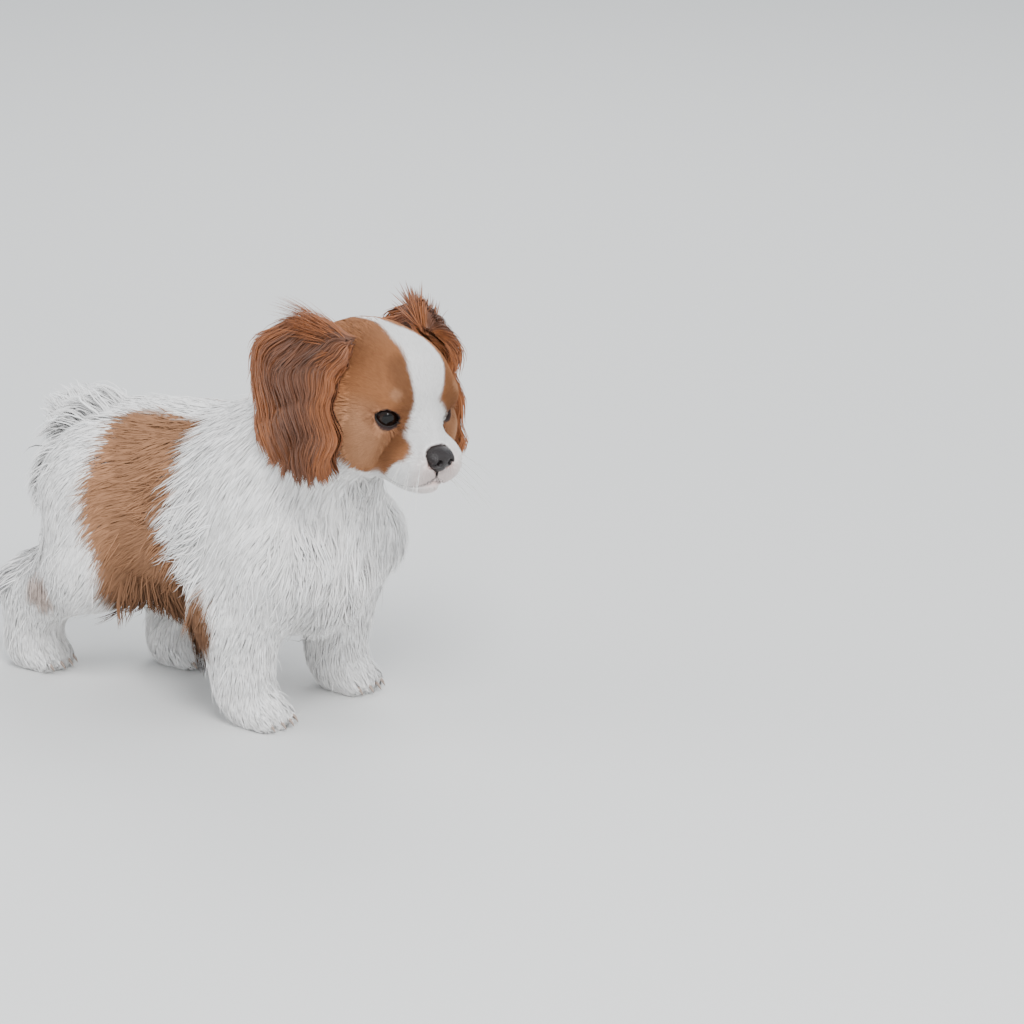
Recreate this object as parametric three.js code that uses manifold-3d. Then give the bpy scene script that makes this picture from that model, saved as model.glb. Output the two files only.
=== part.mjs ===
// A Cavalier King Charles spaniel puppy, standing, as a still life-size model.
// Millimetres, +Z up, +X towards the dog's nose and +Y towards its left.
import * as THREE from "three";
import { mergeVertices } from "three/addons/utils/BufferGeometryUtils.js";
import Module from "manifold-3d";

const wasm = await Module();
wasm.setup();

// Driving sizes
const GAP = 0.3;
const HEAD_TURN = { yaw: -13, pitch: 13, roll: -5 };
const HEAD_AT = [57.5, -1.5, 195];
const EYE_RADIUS = 8.2;
const EYE_AT = [27.2, 17.8, -1];
const GAZE = [0.86, 0.51, 0];
const EYE_OPENING = { width: 14.5, height: 10.5, slant: 10 };
const NOSE_AT = [54.5, 0, -14];
const PASTERN_HEIGHT = 25;
const CLAW = { radius: 1.3, length: 5.5, reach: 24.5 };
const FEET = {
  fore_right: [-4, -38],
  fore_left: [-2, 41],
  hind_right: [-172, -26],
  hind_left: [-108, 24],
};

// Planes that part the head, neck and torso: a point, and a normal towards the nose
const NECK_FRONT = { point: [22, -2, 172], normal: [0.75, 0, 0.66] };
const NECK_BACK = { point: [-26, 0, 170], normal: [0.56, 0, 0.83] };

// Planes that part each thigh from its shank and the tail's base from its end
const STIFLE = {
  right: { point: [-136, -31, 60], normal: [-0.87, 0, -0.49] },
  left: { point: [-92, 30, 57], normal: [-0.6, -0.3, -0.74] },
};
const TAIL_MIDDLE = { point: [-176, 26, 133], normal: [-0.35, 0.93, -0.15] };

// Forms that belong to the lower legs
const LOWER_LIMB = ["gaskin", "metatarsus", "forearm", "paw", "toe"];

// Mesh cell sizes
const CELL = { head: 5.5, neck: 11, torso: 12.5, leg: 8.5, paw: 5.6 };

// A lock of long hair: its rings, its sunk root, and how far its flat side stands off the coat
const LOCK = { rings: 4, sink: 3, thickness: 3.2, lift: 1.2, droop: 0.5 };

const COAT_WHITE = { color: 0xf0ebe4, roughness: 0.85 };
const COAT_CHESTNUT = { color: 0x9a5a34, roughness: 0.8 };
const EYE_DARK = { color: 0x120c0a, roughness: 0.08 };
const NOSE_LEATHER = { color: 0x2a1d1b, roughness: 0.45 };

// Seeded random numbers between 0 and 1
let seed = 20417;
function random() {
  seed = (seed * 1103515245 + 12345) % 2147483648;
  return seed / 2147483648;
}

function vary(value, part) {
  return value * (1 + part * (2 * random() - 1));
}

// Forms of the body: rounded balls and tapering limbs that blend into each other
function ball(name, at, size, blend) {
  return { kind: "ball", name, at, size, blend };
}

function limb(name, from, to, fromRadius, toRadius, blend) {
  return { kind: "limb", name, from, to, fromRadius, toRadius, blend };
}

function bothSides(make) {
  return [make(-1), make(1)];
}

function trunkForms() {
  return [
    ball("ribs", [-48, 0, 106], [64, 49, 62], 0),
    ball("shoulders", [-8, 0, 110], [48, 52, 58], 22),
    ball("chest", [14, 0, 100], [31, 40, 46], 20),
    ball("loin", [-92, 0, 108], [48, 46, 54], 22),
    ball("rump", [-120, 0, 112], [37, 42, 44], 22),
    limb("neck", [-4, 0, 138], [42, -4, 182], 41, 37, 22),
  ];
}

function pawForms(x, y, length) {
  const forms = [ball("paw", [x, y, 9], [length, 15, 13], 8)];
  for (const toe of [-1.5, -0.5, 0.5, 1.5]) {
    const forward = x + length * 0.72 - Math.abs(toe) * 2.4;
    forms.push(ball("toe", [forward, y + toe * 7, 6.5], [8, 4.3, 7], 2.5));
  }
  return forms;
}

function forelegForms(side) {
  const [x, y] = side < 0 ? FEET.fore_right : FEET.fore_left;
  const reach = side < 0 ? 0 : 6;
  const elbow = [-10 + reach, y + side * 3, 64];
  return [
    limb("upper_arm", [16, side * 38, 94], [-10, y + side * 4, 64], 26, 24, 16),
    limb("forearm", elbow, [x - 6 + reach / 2, y, 22], 23, 18, 10),
    ...pawForms(x + 4, y, 18),
  ];
}

function hindlegForms(side) {
  const [x, y] = side < 0 ? FEET.hind_right : FEET.hind_left;
  const stifle = side < 0 ? [-116, -34, 72] : [-84, 34, 68];
  const hock = [x + 6, y, 44];
  return [
    limb("thigh", [-122, side * 22, 112], stifle, 35, 25, 18),
    limb("gaskin", stifle, hock, 25, 20, 12),
    limb("metatarsus", hock, [x + 1, y, 18], 19, 17, 8),
    ...pawForms(x + 6, y, 17),
  ];
}

function headForms() {
  return [
    ball("skull", [-4, 0, 3], [43, 37, 33], 0),
    ball("forehead", [15, 0, 9], [27, 29, 25], 10),
    ...bothSides((side) => ball("cheek", [12, side * 24, -16], [26, 17, 21], 8)),
    ...bothSides((side) => ball("brow", [28, side * 15, 9], [13, 13, 10], 6)),
    limb("bridge", [32, 0, -8], [43.5, 0, -13], 15, 12, 8),
    ball("jaw", [28, 0, -28], [28, 22, 13], 8),
    ...bothSides((side) => ball("lip", [45.5, side * 10.5, -22.5], [15, 13, 13], 5)),
    ball("chin", [43, 0, -33], [15, 12, 8], 5),
    ...bothSides((side) => ball("lids", mirrored(EYE_AT, side), [9.6, 9.6, 9.6], 5)),
  ];
}

function mirrored(point, side) {
  return [point[0], point[1] * side, point[2]];
}

// The head frame: x forward along the muzzle, y left, z up
const headMatrix = new THREE.Matrix4().makeRotationFromEuler(
  new THREE.Euler(
    THREE.MathUtils.degToRad(HEAD_TURN.roll),
    THREE.MathUtils.degToRad(HEAD_TURN.pitch),
    THREE.MathUtils.degToRad(HEAD_TURN.yaw),
    "ZYX",
  ),
);
headMatrix.setPosition(...HEAD_AT);
const headInverse = headMatrix.clone().invert();

function fromHead(point) {
  return new THREE.Vector3(...point).applyMatrix4(headMatrix);
}

function headDirection(direction) {
  return new THREE.Vector3(...direction).transformDirection(headMatrix);
}

// Distance from a point to the surface of each form, negative inside it
function ballDistance(x, y, z, form) {
  const [dx, dy, dz] = [x - form.at[0], y - form.at[1], z - form.at[2]];
  const [a, b, c] = form.size;
  const scaled = Math.hypot(dx / a, dy / b, dz / c);
  const slope = Math.hypot(dx / (a * a), dy / (b * b), dz / (c * c));
  return slope < 1e-9 ? -Math.min(a, b, c) : (scaled * (scaled - 1)) / slope;
}

function limbDistance(x, y, z, form) {
  const axis = form.to.map((value, i) => value - form.from[i]);
  const [px, py, pz] = [x - form.from[0], y - form.from[1], z - form.from[2]];
  const length = Math.hypot(...axis);
  const along = (px * axis[0] + py * axis[1] + pz * axis[2]) / length;
  const aside = Math.sqrt(Math.max(px * px + py * py + pz * pz - along * along, 0));
  const sine = (form.fromRadius - form.toRadius) / length;
  const cosine = Math.sqrt(1 - sine * sine);
  const slant = along + (aside * -sine) / cosine;
  if (slant <= 0) {
    return Math.hypot(aside, along) - form.fromRadius;
  }
  if (slant >= length) {
    return Math.hypot(aside, along - length) - form.toRadius;
  }
  return aside * cosine + along * sine - form.fromRadius;
}

function formDistance(x, y, z, form) {
  return form.kind === "ball" ? ballDistance(x, y, z, form) : limbDistance(x, y, z, form);
}

function blended(a, b, width) {
  if (width <= 0) {
    return Math.min(a, b);
  }
  const h = Math.max(width - Math.abs(a - b), 0) / width;
  return Math.min(a, b) - (h * h * width) / 4;
}

function joinedDistance(x, y, z, forms) {
  let distance = Infinity;
  for (const form of forms) {
    distance = blended(distance, formDistance(x, y, z, form), form.blend);
  }
  return distance;
}

const limbForms = [...bothSides(forelegForms), ...bothSides(hindlegForms)].flat();
const bodyForms = [...trunkForms(), ...limbForms];
const upperForms = bodyForms.filter((form) => !LOWER_LIMB.includes(form.name));
const skullForms = headForms();
const HEAD_BLEND = 14;

// The coat surface of the dog without its ears and tail, or without its lower limbs too
const local = new THREE.Vector3();
function coatDistance(x, y, z, forms = bodyForms) {
  local.set(x, y, z).applyMatrix4(headInverse);
  const head = joinedDistance(local.x, local.y, local.z, skullForms);
  return blended(joinedDistance(x, y, z, forms), head, HEAD_BLEND);
}

function coatNormal(point) {
  const h = 0.4;
  const { x, y, z } = point;
  return new THREE.Vector3(
    coatDistance(x + h, y, z) - coatDistance(x - h, y, z),
    coatDistance(x, y + h, z) - coatDistance(x, y - h, z),
    coatDistance(x, y, z + h) - coatDistance(x, y, z - h),
  ).normalize();
}

// The nearest place on the coat, or one that stands off it by a given height
function onCoat(point, height = 0) {
  const place = point.clone();
  for (let i = 0; i < 6; i += 1) {
    const miss = coatDistance(place.x, place.y, place.z) - height;
    place.addScaledVector(coatNormal(place), -miss);
  }
  return place;
}

// Solids and their joins
function solidOf(geometry) {
  const bare = geometry.clone();
  bare.deleteAttribute("normal");
  bare.deleteAttribute("uv");
  const merged = mergeVertices(bare, 1e-4);
  return new wasm.Manifold(
    new wasm.Mesh({
      numProp: 3,
      vertProperties: Float32Array.from(merged.attributes.position.array),
      triVerts: Uint32Array.from(merged.index.array),
    }),
  );
}

function meshSolid(points, triangles) {
  const geometry = new THREE.BufferGeometry();
  geometry.setAttribute("position", new THREE.Float32BufferAttribute(points, 3));
  geometry.setIndex(triangles);
  return solidOf(geometry);
}

function joined(solids) {
  return solids.reduce((whole, next) => whole.add(next));
}

function largest(solid) {
  const bodies = solid.decompose();
  return bodies.reduce((best, next) => (next.volume() > best.volume() ? next : best));
}

// Everything on the side of a plane that its normal points to
function halfSpace(point, normal, shift = 0) {
  const size = 900;
  const direction = new THREE.Vector3(...normal).normalize();
  const box = new THREE.BoxGeometry(size, size, size);
  box.translate(0, 0, size / 2);
  box.applyQuaternion(
    new THREE.Quaternion().setFromUnitVectors(new THREE.Vector3(0, 0, 1), direction),
  );
  const place = new THREE.Vector3(...point).addScaledVector(direction, shift);
  box.translate(place.x, place.y, place.z);
  return solidOf(box);
}

function ahead(plane, shift = 0) {
  return halfSpace(plane.point, plane.normal, shift);
}

function behind(plane, shift = 0) {
  return halfSpace(plane.point, plane.normal.map((value) => -value), shift);
}

// Where opposite corners of a grid face are inside, the shallower one is put outside,
// so that the surface never touches itself
function partTouching(values, steps, cell) {
  let changed = true;
  while (changed) {
    changed = false;
    for (let n = 0; n < values.length - steps[0] - steps[1]; n += 1) {
      for (const [u, v] of [[0, 1], [1, 2], [0, 2]]) {
        const face = [n, n + steps[u], n + steps[u] + steps[v], n + steps[v]];
        const [a, b, c, d] = face.map((corner) => values[corner] < 0);
        if (a === c && b === d && a !== b) {
          const [p, q] = a ? [face[0], face[2]] : [face[1], face[3]];
          values[values[p] > values[q] ? p : q] = cell / 20;
          changed = true;
        }
      }
    }
  }
}

// Mesh the surface where a distance is zero: one vertex in each cell that it crosses
function surfaceIn([low, high], cell, height = 0, forms = bodyForms) {
  const count = low.map((value, i) => Math.ceil((high[i] - value) / cell));
  const [nx, ny, nz] = count.map((value) => value + 1);
  const at = (i, j, k) => (i * ny + j) * nz + k;
  const values = new Float64Array(nx * ny * nz);
  for (let i = 0; i < nx; i += 1) {
    for (let j = 0; j < ny; j += 1) {
      for (let k = 0; k < nz; k += 1) {
        const rim = i === 0 || j === 0 || k === 0 || i === nx - 1 || j === ny - 1 || k === nz - 1;
        const [x, y, z] = [low[0] + i * cell, low[1] + j * cell, low[2] + k * cell];
        const distance = coatDistance(x, y, z, forms) - height;
        values[at(i, j, k)] = rim ? Math.max(distance, cell / 2) : distance;
      }
    }
  }
  const steps = [ny * nz, nz, 1];
  partTouching(values, steps, cell);
  const points = [];
  const cells = new Map();
  const corner = [0, 1].flatMap((i) => [0, 1].flatMap((j) => [0, 1].map((k) => [i, j, k])));
  for (let i = 0; i < nx - 1; i += 1) {
    for (let j = 0; j < ny - 1; j += 1) {
      for (let k = 0; k < nz - 1; k += 1) {
        const held = corner.map(([a, b, c]) => values[at(i + a, j + b, k + c)]);
        if (held.every((v) => v < 0) || held.every((v) => v >= 0)) {
          continue;
        }
        const sum = new THREE.Vector3();
        let crossings = 0;
        corner.forEach((a, m) => {
          corner.forEach((b, n) => {
            const edge = b[0] - a[0] + b[1] - a[1] + b[2] - a[2] === 1;
            const forward = b.every((value, axis) => value >= a[axis]);
            if (edge && forward && held[m] < 0 !== held[n] < 0) {
              const t = held[m] / (held[m] - held[n]);
              sum.add(new THREE.Vector3(...a).lerp(new THREE.Vector3(...b), t));
              crossings += 1;
            }
          });
        });
        sum.divideScalar(crossings).add(new THREE.Vector3(i, j, k)).multiplyScalar(cell);
        sum.add(new THREE.Vector3(...low));
        const miss = coatDistance(sum.x, sum.y, sum.z, forms) - height;
        if (Math.abs(miss) < cell * 0.35) {
          sum.addScaledVector(coatNormal(sum), -miss);
        }
        cells.set(at(i, j, k), points.length / 3);
        points.push(sum.x, sum.y, sum.z);
      }
    }
  }
  const triangles = [];
  const vertex = (n) => new THREE.Vector3(points[3 * n], points[3 * n + 1], points[3 * n + 2]);
  for (let i = 0; i < nx - 1; i += 1) {
    for (let j = 0; j < ny - 1; j += 1) {
      for (let k = 0; k < nz - 1; k += 1) {
        const here = at(i, j, k);
        for (let axis = 0; axis < 3; axis += 1) {
          const inside = values[here] < 0;
          if (inside === values[here + steps[axis]] < 0) {
            continue;
          }
          const [u, v] = [steps[(axis + 1) % 3], steps[(axis + 2) % 3]];
          const quad = [here - u - v, here - v, here, here - u].map((n) => cells.get(n));
          const [a, b, c, d] = inside ? quad : quad.reverse();
          const split = vertex(a).distanceTo(vertex(c)) <= vertex(b).distanceTo(vertex(d));
          triangles.push(...(split ? [a, b, c, a, c, d] : [a, b, d, b, c, d]));
        }
      }
    }
  }
  return meshSolid(points, triangles);
}

// The wedge of space that holds a foreleg or a hind leg, grown outwards by a gap
function forelegSpace(side, grow = 0) {
  const slope = [0, side * 0.816, -0.578];
  return halfSpace([0, side * 14, 40], slope, -grow)
    .intersect(halfSpace([-42, 0, 0], [1, 0, 0], -grow))
    .intersect(halfSpace([0, side * 4, 0], [0, side, 0], -grow));
}

function hindlegSpace(side, grow = 0) {
  const slope = [0, side * 0.858, -0.515];
  const front = side < 0 ? -80 : -54;
  return halfSpace([0, side * 8, 55], slope, -grow)
    .intersect(halfSpace([front, 0, 0], [-1, 0, 0], -grow))
    .intersect(halfSpace([0, side * 1, 0], [0, side, 0], -grow));
}

// Body boxes that hold each meshed piece with a cell to spare
const BOX = {
  head: [[-8, -68, 128], [130, 68, 242]],
  neck: [[-60, -66, 96], [76, 66, 236]],
  torso: [[-182, -72, 30], [76, 72, 204]],
  foreleg: [[-62, 0, 8], [66, 84, 136]],
  hindleg: [[-222, 0, 8], [-40, 84, 168]],
};

function sided([low, high], side) {
  if (side > 0) {
    return [[low[0], low[1] - 10, low[2]], high];
  }
  return [[low[0], -high[1], low[2]], [high[0], 10 - low[1], high[2]]];
}

// A flat tapering lock of hair through a list of points, with its flat face along normals
function lockSolid(path, normals, width, thickness) {
  const points = [];
  const triangles = [];
  const last = path.length - 1;
  path.slice(0, last).forEach((centre, i) => {
    const t = i / last;
    const ahead = path[i + 1].clone().sub(path[Math.max(i - 1, 0)]).normalize();
    const side = new THREE.Vector3().crossVectors(ahead, normals[i]).normalize();
    const up = new THREE.Vector3().crossVectors(side, ahead).normalize();
    const swell = Math.min(0.62 + 1.5 * t, 1.25 - 0.85 * t);
    for (const [across, raise] of [[1, 0], [0, 1], [-1, 0], [0, -1]]) {
      const corner = centre.clone();
      corner.addScaledVector(side, (across * width * swell) / 2);
      corner.addScaledVector(up, (raise * thickness * swell) / 2);
      points.push(...corner.toArray());
    }
  });
  points.push(...path[last].toArray());
  const tip = points.length / 3 - 1;
  for (let i = 0; i < last; i += 1) {
    for (let n = 0; n < 4; n += 1) {
      const [a, b] = [4 * i + n, 4 * i + ((n + 1) % 4)];
      if (i === last - 1) {
        triangles.push(a, b, tip);
      } else {
        triangles.push(a, b, b + 4, a, b + 4, a + 4);
      }
    }
  }
  triangles.push(0, 2, 1, 0, 3, 2);
  const solid = meshSolid(points, triangles);
  return solid.volume() > 0 ? solid : meshSolid(points, triangles.reverse());
}

// A lock that leaves the coat at a root, lies along it and droops towards its tip
function hangingLock(root, lie, length, width) {
  const heading = new THREE.Vector3(...lie).normalize();
  const place = onCoat(root);
  const path = [onCoat(place, -LOCK.sink)];
  const normals = [coatNormal(place)];
  for (let i = 1; i <= LOCK.rings; i += 1) {
    place.addScaledVector(heading, length / LOCK.rings);
    const miss = LOCK.lift - coatDistance(place.x, place.y, place.z);
    if (miss > 0) {
      place.addScaledVector(coatNormal(place), miss);
    }
    place.z = Math.max(place.z, LOCK.thickness);
    path.push(place.clone());
    normals.push(coatNormal(place));
    heading.z -= LOCK.droop / LOCK.rings;
    heading.normalize();
  }
  return lockSolid(path, normals, width, LOCK.thickness);
}

// A row of locks whose roots lie along a curve
function fringe({ along, lie, count, length, width }) {
  const line = new THREE.CatmullRomCurve3(along.map((point) => new THREE.Vector3(...point)));
  return Array.from({ length: count }, (_, i) => {
    const root = line.getPoint((i + 0.5 + 0.3 * (random() - 0.5)) / count);
    const turned = lie.map((value) => value + 0.25 * (random() - 0.5));
    return hangingLock(root, turned, vary(length, 0.2), vary(width, 0.15));
  });
}

function sidedFringe(row, side) {
  return fringe({
    ...row,
    along: row.along.map((point) => mirrored(point, side)),
    lie: mirrored(row.lie, side),
  });
}

const TORSO_FRINGES = [
  {
    along: [[40, -30, 112], [48, 0, 108], [40, 30, 112]],
    lie: [0.1, 0, -1],
    count: 6,
    length: 28,
    width: 17,
  },
  { along: [[36, -20, 88], [42, 0, 84], [36, 20, 88]], lie: [-0.1, 0, -1], count: 4, length: 26, width: 17 },
  {
    along: [[-150, -16, 118], [-156, 0, 122], [-150, 16, 118]],
    lie: [-0.2, 0, -1],
    count: 3,
    length: 24,
    width: 13,
  },
];
const TORSO_SIDE_FRINGES = [
  { along: [[-42, 16, 46], [-76, 14, 50]], lie: [-0.7, 0, -1], count: 2, length: 15, width: 13 },
];
const NECK_FRINGE = {
  along: [[24, -36, 146], [44, -20, 138], [52, 0, 134], [44, 20, 138], [24, 36, 146]],
  lie: [0.1, 0, -1],
  count: 6,
  length: 27,
  width: 18,
};
const ELBOW_FRINGE = {
  along: [[-32, 41, 62], [-28, 41, 36]],
  lie: [-0.7, 0, -0.8],
  count: 3,
  length: 15,
  width: 11,
};
const BREECHES = {
  right: [
    { along: [[-152, 30, 108], [-156, 32, 74]], lie: [-0.5, 0, -1], count: 3, length: 22, width: 14 },
    { along: [[-188, 27, 58], [-186, 26, 40]], lie: [-0.6, 0, -0.9], count: 2, length: 13, width: 9 },
  ],
  left: [
    { along: [[-146, 34, 104], [-130, 32, 70]], lie: [-0.6, 0, -1], count: 3, length: 22, width: 14 },
    { along: [[-122, 25, 58], [-120, 24, 40]], lie: [-0.6, 0, -0.9], count: 2, length: 13, width: 9 },
  ],
};

// Join locks to a core after they are cut clear of what the node meets
function withLocks(core, locks, neighbours) {
  const hair = neighbours.reduce((left, next) => left.subtract(next), joined(locks));
  return core.add(hair);
}

function nodeMesh(name, solid, look) {
  const kept = largest(solid);
  const mesh = kept.getMesh();
  const geometry = new THREE.BufferGeometry();
  geometry.setAttribute("position", new THREE.Float32BufferAttribute(mesh.vertProperties, 3));
  geometry.setIndex(Array.from(mesh.triVerts));
  geometry.computeVertexNormals();
  const node = new THREE.Mesh(geometry, new THREE.MeshStandardMaterial({ ...look, metalness: 0 }));
  node.name = name;
  return node;
}

// The head with its sockets, lids, mouth line and nose seat
function eyeCutters(side) {
  const centre = fromHead(mirrored(EYE_AT, side));
  const gaze = headDirection(mirrored(GAZE, side));
  const socket = new THREE.SphereGeometry(EYE_RADIUS + GAP, 16, 10);
  socket.translate(...centre.toArray());
  const { width, height, slant } = EYE_OPENING;
  const almond = new THREE.Shape();
  almond.moveTo(-width / 2, 0);
  almond.quadraticCurveTo(0, height * 1.1, width / 2, 0);
  almond.quadraticCurveTo(0, -height * 0.9, -width / 2, 0);
  const opening = new THREE.ExtrudeGeometry(almond, {
    depth: EYE_RADIUS + 8,
    curveSegments: 5,
    bevelEnabled: false,
  });
  opening.rotateZ(THREE.MathUtils.degToRad(side * slant));
  const up = headDirection([0, 0, 1]);
  const across = new THREE.Vector3().crossVectors(up, gaze).normalize();
  const upright = new THREE.Vector3().crossVectors(gaze, across);
  const turn = new THREE.Matrix4().makeBasis(across, upright, gaze);
  turn.setPosition(centre.addScaledVector(gaze, 2));
  opening.applyMatrix4(turn);
  return [solidOf(socket), solidOf(opening)];
}

function eyeMesh(name, side) {
  const eyeball = new THREE.SphereGeometry(EYE_RADIUS, 14, 9);
  eyeball.translate(...fromHead(mirrored(EYE_AT, side)).toArray());
  return nodeMesh(name, solidOf(eyeball), EYE_DARK);
}

function grooveAlong(points, radius, steps) {
  const section = new THREE.Shape().absarc(0, 0, radius, 0, 2 * Math.PI);
  const path = new THREE.CatmullRomCurve3(points.map((point) => onCoat(fromHead(point))));
  return solidOf(
    new THREE.ExtrudeGeometry(section, {
      extrudePath: path,
      steps,
      curveSegments: 3,
      bevelEnabled: false,
    }),
  );
}

function mouthCutters() {
  const lipLine = (side) =>
    grooveAlong(
      [
        [60, 0.6 * side, -26],
        [58, 7 * side, -30],
        [50, 15 * side, -33],
        [40, 21 * side, -32],
        [31, 25 * side, -27],
      ],
      1.1,
      8,
    );
  const philtrum = grooveAlong([[62, 0, -19], [62, 0, -23], [60.5, 0, -27]], 0.8, 4);
  return [lipLine(-1), lipLine(1), philtrum];
}

function headSolid() {
  const bare = surfaceIn(BOX.head, CELL.head).intersect(ahead(NECK_FRONT, GAP / 2));
  const cutters = [...eyeCutters(-1), ...eyeCutters(1), ...mouthCutters()];
  return cutters.reduce((head, cutter) => head.subtract(cutter), bare);
}

// How far other pieces keep off the faceted coat, so that its flats stay clear of them
const CLEAR = GAP + 0.3;
const headSkin = surfaceIn(BOX.head, CELL.head, CLEAR);

// The nose leather is cut to the muzzle that it sits on, then drawn forward by the gap
function noseSolid(muzzle) {
  const pad = new THREE.SphereGeometry(1, 14, 9);
  pad.scale(8.2, 8, 7.4);
  pad.translate(...NOSE_AT);
  const wings = bothSides((side) => {
    const wing = new THREE.SphereGeometry(1, 8, 6);
    wing.scale(6, 3.6, 4.6);
    wing.translate(NOSE_AT[0] + 1.4, side * 4.9, NOSE_AT[2] - 1.2);
    return solidOf(wing);
  });
  const nostrils = bothSides((side) => {
    const nostril = new THREE.SphereGeometry(1, 8, 6);
    nostril.scale(3.4, 1.7, 1.5);
    nostril.rotateZ(side * 0.5);
    nostril.translate(NOSE_AT[0] + 7.4, side * 4.1, NOSE_AT[2] - 0.6);
    return solidOf(nostril);
  });
  const whole = nostrils.reduce((nose, cut) => nose.subtract(cut), joined([solidOf(pad), ...wings]));
  const forward = headDirection([1, 0, 0]).multiplyScalar(GAP * 1.2);
  return whole.transform(headMatrix.elements).subtract(muzzle).translate(forward.toArray());
}

// Ears: a curved flap between guide lines that fall from the base of the ear
const EAR_LINES = [
  [[-6, -27, 30], [-26, -36, 31], [-49, -42, 9], [-42, -46, -19], [-20, -47, -44]],
  [[-4, -28, 29], [-18, -38, 28], [-30, -46, 7], [-18, -49, -17], [0, -49, -43]],
  [[-1, -29, 28], [-6, -38, 25], [-9, -45, 6], [4, -48, -14], [14, -47, -41]],
  [[3, -31, 27], [8, -36, 21], [8, -41, 5], [20, -44, -12], [25, -44, -33]],
];
const EAR = { across: 7, along: 9, thickness: 6.5, edge: 1.6 };

function earPoint(side, u, v) {
  const lines = EAR_LINES.map(
    (line) => new THREE.CatmullRomCurve3(line.map((point) => new THREE.Vector3(...point))),
  );
  const across = new THREE.CatmullRomCurve3(lines.map((line) => line.getPoint(v)));
  const point = across.getPoint(u);
  point.y *= -side;
  return point.applyMatrix4(headMatrix);
}

function earNormal(side, u, v) {
  const h = 0.02;
  const along = earPoint(side, u, Math.min(v + h, 1)).sub(earPoint(side, u, Math.max(v - h, 0)));
  const over = earPoint(side, Math.min(u + h, 1), v).sub(earPoint(side, Math.max(u - h, 0), v));
  const normal = new THREE.Vector3().crossVectors(along, over).normalize();
  return normal.y * side < 0 ? normal.negate() : normal;
}

function earFlap(side) {
  const points = [];
  const triangles = [];
  const { across, along, thickness, edge } = EAR;
  for (const face of [1, -1]) {
    for (let i = 0; i <= across; i += 1) {
      for (let j = 0; j <= along; j += 1) {
        const [u, v] = [i / across, j / along];
        const swell = Math.sqrt(Math.sin(Math.PI * u) * Math.min(1, 0.35 + 3 * (1 - v)));
        const half = (edge + (thickness - edge) * swell) / 2;
        const point = earPoint(side, u, v).addScaledVector(earNormal(side, u, v), face * half);
        points.push(...point.toArray());
      }
    }
  }
  const row = along + 1;
  const sheet = row * (across + 1);
  for (let i = 0; i < across; i += 1) {
    for (let j = 0; j < along; j += 1) {
      const [a, b, c, d] = [i * row + j, i * row + j + 1, (i + 1) * row + j + 1, (i + 1) * row + j];
      triangles.push(a, b, c, a, c, d);
      triangles.push(sheet + a, sheet + c, sheet + b, sheet + a, sheet + d, sheet + c);
    }
  }
  const rim = [];
  for (let j = 0; j < along; j += 1) {
    rim.push(j);
  }
  for (let i = 0; i < across; i += 1) {
    rim.push(i * row + along);
  }
  for (let j = along; j > 0; j -= 1) {
    rim.push(across * row + j);
  }
  for (let i = across; i > 0; i -= 1) {
    rim.push(i * row);
  }
  rim.forEach((here, n) => {
    const next = rim[(n + 1) % rim.length];
    triangles.push(here, sheet + here, sheet + next, here, sheet + next, next);
  });
  const solid = meshSolid(points, triangles);
  return solid.volume() > 0 ? solid : meshSolid(points, triangles.reverse());
}

// Wavy locks down the outer face of an ear, in rows that overlap, with curls past its end
const EAR_ROWS = [
  { count: 4, from: 0.05, to: 0.7, width: 15 },
  { count: 5, from: 0.48, to: 1, width: 13 },
];
const EAR_LOCK = { rings: 4, wave: 1.6, waves: 2.2, thickness: 4, curl: 7 };

function earLock(side, u, row) {
  const path = [];
  const normals = [];
  for (let i = 0; i <= EAR_LOCK.rings; i += 1) {
    const t = i / EAR_LOCK.rings;
    const v = THREE.MathUtils.lerp(row.from, row.to, t);
    const wave = (EAR_LOCK.wave / 40) * Math.sin(2 * Math.PI * (EAR_LOCK.waves * v + u));
    const spot = [THREE.MathUtils.clamp(u + wave, 0, 1), v];
    const normal = earNormal(side, ...spot);
    const height = i === 0 ? 0.4 : EAR.thickness * 0.42 + 1.2 * t;
    const point = earPoint(side, ...spot).addScaledVector(normal, height);
    if (row.to === 1 && i === EAR_LOCK.rings) {
      point.z -= vary(EAR_LOCK.curl, 0.5);
    }
    path.push(point);
    normals.push(normal);
  }
  return lockSolid(path, normals, vary(row.width, 0.15), EAR_LOCK.thickness);
}

// Tufts that stand up and back from the base of an ear, fanned from its rear to its front
const EAR_TUFT = { count: 4, length: 24, width: 9, thickness: 3.4, bend: 1.5, sink: 1 };

function earTufts(side) {
  return Array.from({ length: EAR_TUFT.count }, (_, n) => {
    const start = earPoint(side, 0.15 + 0.22 * n, 0.12);
    const heading = headDirection([-0.75 + 0.16 * n, side * (0.3 + 0.1 * n), 0.75]);
    const normal = headDirection([0.5, side, 0.2]);
    const path = [0, 0.35, 0.7, 1].map((t) =>
      start.clone().addScaledVector(heading, EAR_TUFT.length * t),
    );
    path.forEach((point, i) => point.addScaledVector(normal, EAR_TUFT.bend * i * i - EAR_TUFT.sink));
    return lockSolid(path, path.map(() => normal), vary(EAR_TUFT.width, 0.2), EAR_TUFT.thickness);
  });
}

function earMesh(name, side) {
  const locks = EAR_ROWS.flatMap((row) =>
    Array.from({ length: row.count }, (_, n) => {
      const u = (n + 0.5 + 0.2 * (random() - 0.5)) / row.count;
      return earLock(side, THREE.MathUtils.lerp(0.04, 0.96, u), row);
    }),
  );
  const ear = joined([earFlap(side), ...locks, ...earTufts(side)]);
  return nodeMesh(name, ear.subtract(headSkin).subtract(neckSkin).subtract(trunkSkin), COAT_CHESTNUT);
}

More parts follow.
